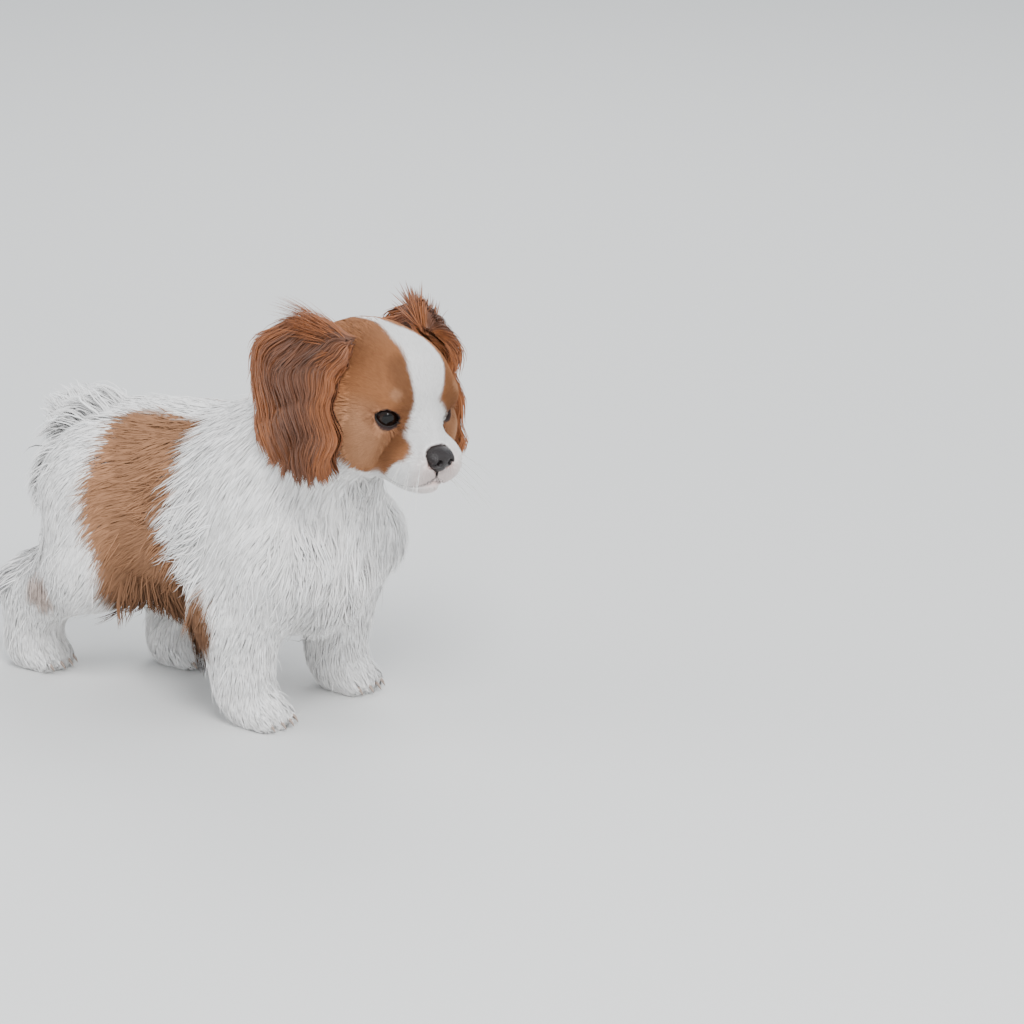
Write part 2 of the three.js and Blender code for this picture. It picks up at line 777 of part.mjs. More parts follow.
// Tail: raised a little at its root and curved round to the dog's left
const TAIL_LINE = [[-142, 0, 130], [-164, 12, 137], [-179, 32, 130], [-178, 52, 114], [-168, 66, 99]];
const TAIL_RADII = [12, 10.5, 8.5, 6, 2.5];

function tailSolid() {
  const path = new THREE.CatmullRomCurve3(TAIL_LINE.map((point) => new THREE.Vector3(...point)));
  const rings = 8;
  const sides = 8;
  const frames = path.computeFrenetFrames(rings, false);
  const points = [];
  const triangles = [];
  for (let i = 0; i < rings; i += 1) {
    const place = (i / rings) * (TAIL_RADII.length - 1);
    const step = Math.floor(place);
    const radius = THREE.MathUtils.lerp(TAIL_RADII[step], TAIL_RADII[step + 1], place - step);
    const centre = path.getPoint(i / rings);
    for (let n = 0; n < sides; n += 1) {
      const angle = (2 * Math.PI * n) / sides;
      const corner = centre.clone();
      corner.addScaledVector(frames.normals[i], radius * Math.cos(angle));
      corner.addScaledVector(frames.binormals[i], radius * Math.sin(angle));
      points.push(...corner.toArray());
      const [a, b] = [i * sides + n, i * sides + ((n + 1) % sides)];
      if (i === rings - 1) {
        triangles.push(a, b, rings * sides);
      } else {
        triangles.push(a, b, b + sides, a, b + sides, a + sides);
      }
    }
  }
  points.push(...path.getPoint(1).toArray());
  for (let n = 1; n < sides - 1; n += 1) {
    triangles.push(0, n + 1, n);
  }
  const solid = meshSolid(points, triangles);
  const tail = solid.volume() > 0 ? solid : meshSolid(points, triangles.reverse());
  return joined([tail, ...tailPlume(path)]).subtract(trunkSkin);
}

// Locks that fall by turns to either side of the tail, from a fifth of the way along it
const PLUME = { count: 10, from: 0.22, length: 22, width: 9, thickness: 3.4, droop: 3 };

function tailPlume(path) {
  return Array.from({ length: PLUME.count }, (_, n) => {
    const t = THREE.MathUtils.lerp(PLUME.from, 1, n / (PLUME.count - 1));
    const tangent = path.getTangent(t);
    const outward = new THREE.Vector3(-0.55, n % 2 === 0 ? 0.25 : -0.35, -1).normalize();
    const heading = outward.addScaledVector(tangent, 0.9).normalize();
    const reach = vary(PLUME.length, 0.2);
    const spine = [0, 0.3, 0.65, 1].map((s) => {
      const point = path.getPoint(t).addScaledVector(heading, reach * s);
      point.z -= PLUME.droop * s * s;
      return point;
    });
    const normal = new THREE.Vector3().crossVectors(heading, tangent).normalize();
    const flat = normal.lengthSq() > 0.1 ? normal : new THREE.Vector3(1, 0, 0);
    return lockSolid(spine, spine.map(() => flat), vary(PLUME.width, 0.2), PLUME.thickness);
  });
}

// Cores: each piece of the coat between its planes, or that piece grown to cut others clear
function neckCore(grow = 0) {
  return surfaceIn(BOX.neck, CELL.neck, grow)
    .intersect(behind(NECK_FRONT, GAP / 2 - grow))
    .intersect(ahead(NECK_BACK, GAP / 2 - grow));
}

function torsoCore(grow = 0) {
  const whole = surfaceIn(BOX.torso, CELL.torso, grow, upperForms);
  const spaces = [
    ...bothSides((side) => forelegSpace(side, GAP - grow)),
    ...bothSides((side) => hindlegSpace(side, GAP - grow)),
  ];
  const cut = (torso, space) => torso.subtract(space);
  return spaces.reduce(cut, whole.intersect(behind(NECK_BACK, GAP / 2 - grow)));
}

function legCore(box, space, grow) {
  return surfaceIn(box, CELL.leg, grow)
    .intersect(space)
    .intersect(behind(NECK_BACK, GAP / 2 - grow))
    .intersect(halfSpace([0, 0, PASTERN_HEIGHT], [0, 0, 1], GAP / 2 - grow));
}

function forelegCore(side, grow = 0) {
  return legCore(sided(BOX.foreleg, side), forelegSpace(side, grow), grow);
}

function hindlegCore(side, grow = 0) {
  return legCore(sided(BOX.hindleg, side), hindlegSpace(side, grow), grow);
}

const neckSkin = neckCore(CLEAR);
const trunkSkin = torsoCore(CLEAR);
const legSkins = bothSides((side) => [forelegCore(side, CLEAR), hindlegCore(side, CLEAR)]).flat();

function torsoSolid() {
  const locks = TORSO_FRINGES.flatMap((row) => fringe(row));
  bothSides((side) => locks.push(...TORSO_SIDE_FRINGES.flatMap((row) => sidedFringe(row, side))));
  return withLocks(torsoCore(), locks, [neckSkin, ...legSkins]);
}

function neckSolid() {
  return withLocks(neckCore(), fringe(NECK_FRINGE), [trunkSkin, headSkin, ...legSkins]);
}

function forelegSolid(side) {
  return withLocks(forelegCore(side), sidedFringe(ELBOW_FRINGE, side), [trunkSkin]);
}

// The locks of a hind leg are parted with it, so that each keeps to its own side of the cut
function hindlegSolids(word, side) {
  const locks = BREECHES[word].flatMap((row) => sidedFringe(row, side));
  const whole = withLocks(hindlegCore(side), locks, [trunkSkin]);
  return {
    thigh: whole.intersect(behind(STIFLE[word], GAP / 2)),
    shank: whole.intersect(ahead(STIFLE[word], GAP / 2)),
  };
}

function pawSolid([x, y]) {
  const box = [[x - 34, y - 26, -8], [x + 40, y + 26, PASTERN_HEIGHT + 8]];
  const claws = [-1.5, -0.5, 0.5, 1.5].map((toe) => {
    const claw = new THREE.ConeGeometry(CLAW.radius, CLAW.length, 5);
    claw.rotateZ(-Math.PI / 2 - 0.5);
    claw.translate(x + CLAW.reach - Math.abs(toe) * 2.4, y + toe * 7, 4.5);
    return solidOf(claw);
  });
  return joined([surfaceIn(box, CELL.paw), ...claws])
    .intersect(halfSpace([0, 0, 0], [0, 0, 1]))
    .intersect(halfSpace([0, 0, PASTERN_HEIGHT], [0, 0, -1], GAP / 2));
}

const group = new THREE.Group();
const head = headSolid();
group.add(nodeMesh("head", head, COAT_WHITE));
group.add(nodeMesh("nose", noseSolid(head), NOSE_LEATHER));
group.add(nodeMesh("neck", neckSolid(), COAT_WHITE));
group.add(nodeMesh("torso", torsoSolid(), COAT_WHITE));
const tail = tailSolid();
group.add(nodeMesh("tail_base", tail.intersect(behind(TAIL_MIDDLE, GAP / 2)), COAT_WHITE));
group.add(nodeMesh("tail_end", tail.intersect(ahead(TAIL_MIDDLE, GAP / 2)), COAT_WHITE));
for (const [word, side] of [["right", -1], ["left", 1]]) {
  group.add(eyeMesh(`eye_${word}`, side));
  group.add(earMesh(`ear_${word}`, side));
  group.add(nodeMesh(`foreleg_${word}`, forelegSolid(side), COAT_WHITE));
  for (const [piece, solid] of Object.entries(hindlegSolids(word, side))) {
    group.add(nodeMesh(`hindleg_${word}_${piece}`, solid, COAT_WHITE));
  }
  group.add(nodeMesh(`forepaw_${word}`, pawSolid(FEET[`fore_${word}`]), COAT_WHITE));
  group.add(nodeMesh(`hindpaw_${word}`, pawSolid(FEET[`hind_${word}`]), COAT_WHITE));
}

// The origin is under the middle of the whole dog, on the floor
const bounds = new THREE.Box3().setFromObject(group);
const middle = bounds.getCenter(new THREE.Vector3());
group.position.set(-middle.x, -middle.y, 0);

export default group;
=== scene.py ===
"""Looks of a standing Cavalier King Charles spaniel puppy: one skin, solid tufts of hair,
wavy ears, eyes, lids, nose leather, mouth line, whiskers and claws, on a plain floor."""
import math

import bpy
import numpy as np
from mathutils import Matrix, Vector, kdtree


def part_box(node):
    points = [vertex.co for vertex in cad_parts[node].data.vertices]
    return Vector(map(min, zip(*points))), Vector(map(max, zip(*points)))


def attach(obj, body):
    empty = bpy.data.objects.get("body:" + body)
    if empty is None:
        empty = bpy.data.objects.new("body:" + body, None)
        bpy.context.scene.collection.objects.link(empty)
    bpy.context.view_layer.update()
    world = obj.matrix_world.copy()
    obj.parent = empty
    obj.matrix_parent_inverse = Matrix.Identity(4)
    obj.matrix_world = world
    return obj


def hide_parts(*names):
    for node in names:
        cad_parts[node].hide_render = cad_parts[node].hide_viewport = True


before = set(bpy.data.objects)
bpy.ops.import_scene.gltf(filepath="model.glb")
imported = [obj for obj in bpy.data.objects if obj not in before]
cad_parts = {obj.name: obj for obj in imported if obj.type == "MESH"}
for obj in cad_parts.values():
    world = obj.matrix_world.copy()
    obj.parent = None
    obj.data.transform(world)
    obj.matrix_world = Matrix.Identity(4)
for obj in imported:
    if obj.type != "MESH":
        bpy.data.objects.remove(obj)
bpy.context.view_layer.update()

rng = np.random.default_rng(20417)
MM = 0.001
SIDES = (("right", -1), ("left", 1))

# Design places, in millimetres, as in the part's source
HEAD_YAW, HEAD_PITCH, HEAD_ROLL = -13.0, 13.0, -5.0
HEAD_AT = np.array([57.5, -1.5, 195.0])
EYE_AT = np.array([27.2, 17.8, -1.0])
EYE_RADIUS = 8.2
GAZE = np.array([0.86, 0.51, 0.0])
NOSE_AT = np.array([54.5, 0.0, -14.0])
FEET = {
    "fore_right": (-4, -38),
    "fore_left": (-2, 41),
    "hind_right": (-172, -26),
    "hind_left": (-108, 24),
}
TAIL_LINE = [(-142, 0, 130), (-164, 12, 137), (-179, 32, 130), (-178, 52, 114), (-168, 66, 99)]
TAIL_RADII = [11.0, 9.5, 7.5, 5.5, 3.0]
EAR_LINES = np.array([
    [(-6, -27, 30), (-26, -36, 31), (-49, -42, 9), (-42, -46, -19), (-20, -47, -44)],
    [(-4, -28, 29), (-18, -38, 28), (-30, -46, 7), (-18, -49, -17), (0, -49, -43)],
    [(-1, -29, 28), (-6, -38, 25), (-9, -45, 6), (4, -48, -14), (14, -47, -41)],
    [(3, -31, 27), (8, -36, 21), (8, -41, 5), (20, -44, -12), (25, -44, -33)],
], float)
MOUTH_LINE = [(60, 0, -27.5), (58, 7, -31), (50, 15, -33.5), (40, 21, -32.5), (31, 25, -27)]

# The camera looks from the dog's right front: its angle, distance and scale at the dog
CAMERA_AZIMUTH, CAMERA_ELEVATION = 35.0, 17.0
CAMERA_DISTANCE = 3300.0
PIXELS_PER_MM = 1.8
IMAGE_SIZE = 1024
SOLE_AT = np.array([0.0, -38.0, 0.0])
SOLE_PIXEL = (258.0, 724.0)

# Colours, linear
WHITE = np.array([0.92, 0.90, 0.88])
CHESTNUT = np.array([0.33, 0.135, 0.056])
CHESTNUT_DARK = np.array([0.11, 0.042, 0.020])
CHESTNUT_PALE = np.array([0.40, 0.205, 0.110])
EAR_RED = np.array([0.27, 0.092, 0.032])
LIP_DARK = np.array([0.03, 0.016, 0.014])
SKIN_PINK = np.array([0.62, 0.36, 0.31])


def turn_matrix(yaw, pitch, roll):
    y, p, r = (math.radians(a) for a in (yaw, pitch, roll))
    turn = Matrix.Rotation(y, 3, "Z") @ Matrix.Rotation(p, 3, "Y") @ Matrix.Rotation(r, 3, "X")
    return np.array(turn)


HEAD_TURN = turn_matrix(HEAD_YAW, HEAD_PITCH, HEAD_ROLL)


def from_head(points):
    return np.asarray(points, float) @ HEAD_TURN.T + HEAD_AT


def to_head(points):
    return (np.asarray(points, float) - HEAD_AT) @ HEAD_TURN


def mirrored(point, side):
    return np.array([point[0], point[1] * side, point[2]], float)


def unit(vectors):
    return vectors / np.maximum(np.linalg.norm(vectors, axis=-1, keepdims=True), 1e-9)


# Hair of each form: the way that it lies, its length, depth, density and width
COAT_KEYS = ("lie", "length", "depth", "density", "width")
COATS = {
    "ribs": ((-1, 0, -0.55), 22, 2.2, 0.8, 1.0),
    "shoulders": ((-0.9, 0, -0.8), 23, 2.5, 0.9, 1.0),
    "chest": ((-0.25, 0, -1), 24, 3.0, 0.95, 1.0),
    "loin": ((-1, 0, -0.5), 22, 2.2, 0.8, 1.0),
    "rump": ((-0.9, 0, -0.7), 22, 3.0, 0.85, 1.0),
    "neck": ((-0.6, 0, -0.9), 22, 2.4, 0.9, 1.0),
    "tail": ((-0.7, 0.35, -0.9), 15, 2.5, 1.2, 0.95),
    "upper_arm": ((-0.45, 0, -1), 16, 2.2, 0.95, 0.95),
    "forearm": ((-0.25, 0, -1), 11, 2.2, 1.2, 0.9),
    "thigh": ((-0.55, 0, -1), 17, 2.3, 0.95, 1.0),
    "gaskin": ((-0.6, 0, -0.9), 13, 2.4, 1.1, 0.9),
    "metatarsus": ((-0.2, 0, -1), 10, 2.0, 1.3, 0.9),
    "paw": ((0.6, 0, -0.8), 8, 2.0, 1.8, 0.9),
    "toe": ((0.8, 0, -0.6), 6.8, 1.4, 2.0, 0.8),
    "skull": ((-1, 0, 0.05), 6.5, 1.6, 2.4, 0.7),
    "forehead": ((-0.8, 0, 0.7), 5.5, 1.3, 2.6, 0.7),
    "cheek": ((-1, 0, -0.45), 6.2, 1.6, 2.6, 0.7),
    "brow": ((-0.7, 0.5, 0.5), 4, 1.0, 3.2, 0.6),
    "bridge": ((-1, 0, 0.12), 2.8, 0.7, 4.0, 0.5),
    "jaw": ((-0.9, 0, -0.4), 6.4, 1.6, 2.4, 0.7),
    "lip": ((-0.8, 0.2, -0.5), 4, 0.9, 3.6, 0.52),
    "chin": ((-0.5, 0, -0.9), 4, 1.0, 3.0, 0.55),
    "lids": ((-0.8, 0.55, 0.0), 2.4, 0.7, 4.2, 0.45),
}


def ball(name, at, size, blend, side=1):
    place, extent = np.array(at, float), np.array(size, float)
    return {"kind": "ball", "name": name, "at": place, "size": extent, "blend": blend, "side": side}


def limb(name, start, end, start_radius, end_radius, blend, side=1):
    ends = {"start": np.array(start, float), "end": np.array(end, float)}
    radii = {"start_radius": start_radius, "end_radius": end_radius}
    return {"kind": "limb", "name": name, "blend": blend, "side": side, **ends, **radii}


def both_sides(make):
    return [make(-1), make(1)]


def trunk_forms():
    return [
        ball("ribs", (-48, 0, 106), (64, 49, 62), 0),
        ball("shoulders", (-8, 0, 110), (48, 52, 58), 22),
        ball("chest", (14, 0, 100), (31, 40, 46), 20),
        ball("loin", (-92, 0, 108), (48, 46, 54), 22),
        ball("rump", (-120, 0, 112), (34, 41, 44), 22),
        limb("neck", (-4, 0, 138), (42, -4, 182), 41, 37, 22),
    ]


def tail_forms():
    spans = zip(TAIL_LINE, TAIL_LINE[1:], TAIL_RADII, TAIL_RADII[1:])
    forms = [limb("tail", a, b, ra, rb, 5) for a, b, ra, rb in spans]
    for form in forms:
        form["lie"] = unit(form["end"] - form["start"]) + [0, 0, -0.25]
    return forms


# Toes from the right to the left of a paw, how far along it they lie, and the outer ones' setback
TOES = (-1.5, -0.5, 0.5, 1.5)
TOE_SHARE = 0.72
TOE_STEP = 2.4
TOE_WIDTH = 7
# How far a paw's middle lies ahead of the foot's place, and half its length
FORE_PAW, HIND_PAW = (4, 18), (6, 17)


def toe_front(x, paw):
    ahead, length = paw
    return x + ahead + length * TOE_SHARE


def paw_forms(x, y, paw, side):
    ahead, length = paw
    forms = [ball("paw", (x + ahead, y, 9), (length, 15, 13), 8, side)]
    for toe in TOES:
        place = (toe_front(x, paw) - abs(toe) * TOE_STEP, y + toe * TOE_WIDTH, 6.5)
        forms.append(ball("toe", place, (8, 4.3, 7), 2.5, side))
    return forms


def foreleg_forms(side):
    x, y = FEET["fore_right" if side < 0 else "fore_left"]
    reach = 0 if side < 0 else 6
    elbow = (-10 + reach, y + side * 3, 64)
    return [
        limb("upper_arm", (16, side * 38, 94), (-10, y + side * 4, 64), 26, 24, 16, side),
        limb("forearm", elbow, (x - 6 + reach / 2, y, 22), 23, 18, 10, side),
        *paw_forms(x, y, FORE_PAW, side),
    ]


def hindleg_forms(side):
    x, y = FEET["hind_right" if side < 0 else "hind_left"]
    stifle = (-116, -34, 72) if side < 0 else (-84, 34, 68)
    hock = (x + 6, y, 44)
    return [
        limb("thigh", (-122, side * 22, 112), stifle, 35, 25, 18, side),
        limb("gaskin", stifle, hock, 25, 20, 12, side),
        limb("metatarsus", hock, (x + 1, y, 18), 19, 17, 8, side),
        *paw_forms(x, y, HIND_PAW, side),
    ]


def head_forms():
    return [
        ball("skull", (-4, 0, 3), (43, 37, 33), 0),
        ball("forehead", (15, 0, 9), (27, 29, 25), 10),
        *both_sides(lambda s: ball("cheek", (12, s * 24, -16), (26, 17, 21), 8, s)),
        *both_sides(lambda s: ball("brow", (28, s * 15, 9), (13, 13, 10), 6, s)),
        limb("bridge", (32, 0, -8), (43.5, 0, -13), 15, 12, 8),
        ball("jaw", (28, 0, -28), (28, 22, 13), 8),
        *both_sides(lambda s: ball("lip", (45.5, s * 10.5, -22.5), (15, 13, 13), 7, s)),
        ball("chin", (43, 0, -33), (15, 12, 8), 5),
        *both_sides(lambda s: ball("lids", mirrored(EYE_AT, s), (9.6, 9.6, 9.6), 5, s)),
    ]


BODY_FORMS = trunk_forms() + tail_forms() + foreleg_forms(-1) + foreleg_forms(1)
BODY_FORMS += hindleg_forms(-1) + hindleg_forms(1)
SKULL_FORMS = head_forms()
HEAD_BLEND = 14


def ball_distance(points, form):
    offset = points - form["at"]
    scaled = np.linalg.norm(offset / form["size"], axis=1)
    slope = np.linalg.norm(offset / form["size"] ** 2, axis=1)
    return scaled * (scaled - 1) / np.maximum(slope, 1e-9)


def limb_distance(points, form):
    axis = form["end"] - form["start"]
    length = np.linalg.norm(axis)
    offset = points - form["start"]
    along = offset @ axis / length
    aside = np.sqrt(np.maximum((offset ** 2).sum(1) - along ** 2, 0))
    sine = (form["start_radius"] - form["end_radius"]) / length
    cosine = math.sqrt(1 - sine * sine)
    slant = along - aside * sine / cosine
    at_start = np.hypot(aside, along) - form["start_radius"]
    at_end = np.hypot(aside, along - length) - form["end_radius"]
    between = aside * cosine + along * sine - form["start_radius"]
    return np.where(slant <= 0, at_start, np.where(slant >= length, at_end, between))


def form_distance(points, form):
    return ball_distance(points, form) if form["kind"] == "ball" else limb_distance(points, form)


def blended(a, b, width):
    if width <= 0:
        return np.minimum(a, b)
    h = np.maximum(width - np.abs(a - b), 0) / width
    return np.minimum(a, b) - h * h * width / 4


# How much further than the nearest form another may lie and still lend its hair values
COAT_SPREAD = 5.0


def form_lie(form):
    return form.get("lie", mirrored(COATS[form["name"]][0], form["side"]))


def coat_values():
    """Each hair value of every form, with the lie in the design frame."""
    forms = BODY_FORMS + SKULL_FORMS
    lies = [form_lie(form) for form in BODY_FORMS]
    lies += [HEAD_TURN @ form_lie(form) for form in SKULL_FORMS]
    columns = zip(*(COATS[form["name"]][1:] for form in forms))
    return dict(zip(COAT_KEYS, [np.array(lies), *map(np.array, columns)]))


COAT_VALUES = coat_values()


def coat_field(points, wanted=()):
    """Distance to the outer coat, and the wanted hair values there, mixed from the near forms."""
    wholes, near = [], []
    for group, places in ((BODY_FORMS, points), (SKULL_FORMS, to_head(points))):
        whole = None
        for form in group:
            value = form_distance(places, form)
            near.append(value)
            whole = value if whole is None else blended(whole, value, form["blend"])
        wholes.append(whole)
    distance = blended(*wholes, HEAD_BLEND)
    if not wanted:
        return distance
    near = np.array(near)
    near = np.exp(-(near - near.min(0)) / COAT_SPREAD)
    near /= near.sum(0)
    return distance, {key: near.T @ COAT_VALUES[key] for key in wanted}


def in_chunks(function, points, size=60000):
    return np.concatenate([function(points[i:i + size]) for i in range(0, len(points), size)])


def line_distance(points, line):
    """Distance to a chain of straight spans, or to a single spot."""
    line = np.array(line, float)
    if len(line) == 1:
        return np.linalg.norm(points - line[0], axis=1)
    best = np.inf
    for a, b in zip(line, line[1:]):
        t = np.clip((points - a) @ (b - a) / ((b - a) @ (b - a)), 0, 1)
        best = np.minimum(best, np.linalg.norm(points - a - t[:, None] * (b - a), axis=1))
    return best


def folded(inside_head):
    """Head places with the right side folded onto the left."""
    return np.where([False, True, False], np.abs(inside_head), inside_head)


def coat_normal(points, h=0.4):
    steps = np.eye(3) * h
    slopes = [coat_field(points + s) - coat_field(points - s) for s in steps]
    return unit(np.stack(slopes, 1))


def on_coat(points, height=0.0):
    """Nearest places at a height over the outer coat."""
    places = np.array(points, float)
    for _ in range(6):
        places = places - coat_normal(places) * (coat_field(places) - height)[:, None]
    return places


MOUTH_ON_COAT = to_head(on_coat(from_head(MOUTH_LINE)))


def mouth_distance(inside_head):
    return line_distance(folded(inside_head), MOUTH_ON_COAT)


# Eye frames: across from the nose outwards, up, and along the gaze
def eye_frame(side):
    gaze = unit(HEAD_TURN @ mirrored(GAZE, side))
    up = HEAD_TURN @ np.array([0.0, 0.0, 1.0])
    across = unit(np.cross(up, gaze)) * side
    tilt = math.radians(9)
    upright = unit(np.cross(gaze, across) * side)
    turned_across = across * math.cos(tilt) + upright * math.sin(tilt)
    turned_up = upright * math.cos(tilt) - across * math.sin(tilt)
    return from_head(mirrored(EYE_AT, side)), turned_across, turned_up, gaze


LID_HALF_WIDTH, UPPER_LID, LOWER_LID = 7.8, 6.0, 4.7
LID_CURVE = 0.8
RIM_DEPTH = 5.2


def lid_opening(points, side):
    """Less than 1 inside the almond opening between the lids, seen along the gaze."""
    centre, across, up, gaze = eye_frame(side)
    offset = points - centre
    x = offset @ across / LID_HALF_WIDTH
    z = offset @ up
    bound = np.where(z > 0, UPPER_LID, LOWER_LID) * np.maximum(1 - x * x, 0) ** LID_CURVE
    ahead = offset @ gaze > 0
    opening = np.where(np.abs(x) < 1, np.abs(z) / np.maximum(bound, 1e-3), 9.0)
    return np.where(ahead, opening, 9.0)


HEAD_REACH = 90
MOUTH_GROOVE = 1.7


def skin_field(points):
    """The skin lies inside the coat by its depth, with sockets, a mouth line and a nose seat."""
    distance, values = coat_field(points, ("depth",))
    field = distance + values["depth"]
    near = np.linalg.norm(points - HEAD_AT, axis=1) < HEAD_REACH
    if not near.any():
        return field
    close = points[near]
    part = field[near]
    for side in (-1, 1):
        centre, _, _, gaze = eye_frame(side)
        reach = np.linalg.norm(close - centre, axis=1)
        lids = reach - (EYE_RADIUS + 1.5)
        part = blended(part, np.maximum(lids, part - 3.0), 2.0)
        part = np.maximum(part, EYE_RADIUS - reach)
        front = (close - centre) @ gaze
        open_here = (lid_opening(close, side) < 1) & (front > 2) & (reach < EYE_RADIUS + 6)
        part = np.where(open_here, np.maximum(part, 0.6), part)
    field[near] = np.maximum(part, MOUTH_GROOVE - mouth_distance(to_head(close)))
    return field


# Surface of a field on a grid: one vertex in each cell that it crosses, joined by quads
def grid_line(spans):
    values = [spans[0][0]]
    for start, end, step in spans:
        count = max(int(round((end - start) / step)), 1)
        values += list(start + (end - start) * np.arange(1, count + 1) / count)
    return np.array(values)


def field_on_grid(function, lines, block=8):
    """Field values on a grid, worked out only near the surface."""
    shape = tuple(len(line) for line in lines)
    values = np.full(shape, 1e3)
    starts = [np.arange(0, n - 1, block) for n in shape]
    mesh = np.stack(np.meshgrid(*starts, indexing="ij"), -1).reshape(-1, 3)
    ends = np.minimum(mesh + block, np.array(shape) - 1)
    low = np.stack([lines[i][mesh[:, i]] for i in range(3)], 1)
    high = np.stack([lines[i][ends[:, i]] for i in range(3)], 1)
    reach = np.linalg.norm(high - low, axis=1) / 2
    middle = in_chunks(function, (low + high) / 2)
    touched = np.zeros(shape, bool)
    for start, end, value, size in zip(mesh, ends, middle, reach):
        region = tuple(slice(a, b + 1) for a, b in zip(start, end))
        if abs(value) < size * 1.25 + 3:
            touched[region] = True
        elif value < 0:
            values[region] = -1e3
    index = np.argwhere(touched)
    points = np.stack([lines[i][index[:, i]] for i in range(3)], 1)
    values[touched] = in_chunks(function, points)
    return values


# Corners of a grid cell, and its twelve edges as pairs of corners
CORNERS = np.array([(i, j, k) for i in (0, 1) for j in (0, 1) for k in (0, 1)])
EDGES = [(a, b) for a in CORNERS for b in CORNERS if (b >= a).all() and (b - a).sum() == 1]


def crossing_places(values, where):
    """Mean place, within each cell, of the crossings on its edges."""
    total, crossings = np.zeros((len(where), 3)), np.zeros(len(where))
    for a, b in EDGES:
        va, vb = (values[tuple((where + end).T)] for end in (a, b))
        crossed = (va < 0) != (vb < 0)
        t = np.where(crossed, va / np.where(crossed, va - vb, 1), 0)
        total += np.where(crossed[:, None], a + t[:, None] * (b - a), 0)
        crossings += crossed
    return total / crossings[:, None]


def crossing_quads(inside, numbers):
    """A quad for each grid edge that the surface crosses, through the four cells round it."""
    quads = []
    for axis in range(3):
        first, second = [slice(1, -1)] * 3, [slice(1, -1)] * 3
        first[axis], second[axis] = slice(0, -1), slice(1, None)
        a, b = inside[tuple(first)], inside[tuple(second)]
        edge = np.argwhere(a != b)
        base = edge + 1
        base[:, axis] -= 1
        u, v = np.roll(np.eye(3, dtype=int), -axis - 1, 0)[:2]
        ring = [base - u - v, base - v, base, base - u]
        quad = np.stack([numbers[tuple(cell.T)] for cell in ring], 1)
        flip = ~a[tuple(edge.T)]
        quad[flip] = quad[flip][:, ::-1]
        quads.append(quad)
    return np.concatenate(quads)


def surface_nets(values, lines):
    """Points and outward quads of the surface where the values on a grid change sign."""
    inside = values < 0
    cells = np.array(values.shape) - 1
    count = sum(inside[tuple(map(slice, o, o + cells))].astype(np.int8) for o in CORNERS)
    active = (count > 0) & (count < len(CORNERS))
    where = np.argwhere(active)
    numbers = np.full(tuple(cells), -1, np.int64)
    numbers[active] = np.arange(len(where))
    points = crossing_places(values, where)
    for axis, line in enumerate(lines):
        low, high = line[where[:, axis]], line[where[:, axis] + 1]
        points[:, axis] = low + points[:, axis] * (high - low)
    return points, crossing_quads(inside, numbers)


# Markings: white with chestnut on the head and in a saddle on each flank, and painted shading on the
# coat
def ripple(points, scale, seed):
    """Smooth noise between -1 and 1, from a few crossed waves."""
    draw = np.random.default_rng(seed)
    total = np.zeros(len(points))
    for _ in range(5):
        direction = draw.normal(size=3)
        phase = draw.uniform(0, 2 * math.pi)
        total += np.sin(points @ (direction / scale) + phase)
    return total / 2.6


def step_between(low, high, values):
    t = np.clip((values - low) / (high - low), 0, 1)
    return t * t * (3 - 2 * t)


def read_off(values, stops):
    """Values read off a chain of stops, which pair a place with the value there."""
    return np.interp(values, *np.array(stops, float).T)


def nearness(points, line, far, close):
    """0 beyond the far distance from a line or a spot, and 1 within the close one."""
    return step_between(far, close, line_distance(points, line))


# Half width of the white blaze and muzzle at heights of the head, on the right and the left
BLAZE = np.array([
    (-40, 20, 20), (-26, 20, 21), (-20, 19, 20), (-10, 11.5, 16), (1, 8.5, 9),
    (9, 9.5, 4.5), (14, 10.5, 7), (24, 11.5, 14.5), (34, 9, 16), (40, 8, 15),
])
# How the blaze narrows towards the nape, above a height of the head
CROWN_HEIGHT = 15
CROWN = [(-26, -0.2), (-14, 0.22), (2, 0.5), (16, 1)]
# Lower edge of the chestnut cheeks, from the nape forwards
JAW_EDGE = [(-30, -26), (0, -24), (17, -25), (24, -30), (30, -34), (44, -27), (52, -18)]
# Front and rear edge of the saddle at heights of the flank, and half the white strip on the spine
SADDLE_FRONT = [(45, -12), (71, -24), (89, -35), (105, -43), (128, -43), (150, -44), (168, -36)]
SADDLE_REAR = [(45, -93), (67, -96), (90, -98), (113, -101), (145, -99), (160, -98)]
SPINE_STRIP = [(-105, 19), (-46, 12)]


def head_chestnut(inside_head):
    x, y, z = inside_head.T
    heights, right, left = BLAZE.T
    half = np.where(y < 0, np.interp(z, heights, right), np.interp(z, heights, left))
    half = half * np.where(z > CROWN_HEIGHT, read_off(x, CROWN), 1)
    beside_blaze = step_between(-1.3, 1.3, np.abs(y) - half)
    return beside_blaze * step_between(-1.5, 1.5, z - read_off(x, JAW_EDGE))


def saddle_chestnut(points):
    """The saddle, narrower on the left flank, with a mark at the hock and one at the elbow."""
    x, y, z = points.T
    left = y > 0
    front, rear = read_off(z, SADDLE_FRONT), read_off(z, SADDLE_REAR)
    front = np.where(left, front + 5 - 20 * step_between(84, 62, z), front)
    rear = np.where(left, rear + 9, rear)
    span = step_between(-3, 3, front - x) * step_between(-3, 3, x - rear)
    strip = read_off(x, SPINE_STRIP) + 2.5 * ripple(points, 14, 5)
    saddle = span * step_between(-2, 3, np.abs(y + 1.5) - strip) * step_between(46, 54, z)
    hock = 0.6 * nearness(points, [(-143, -51, 61)], 15, 9)
    elbow = nearness(points, [(-20, -57, 68)], 19, 13)
    return np.maximum(saddle, np.maximum(hock, elbow))


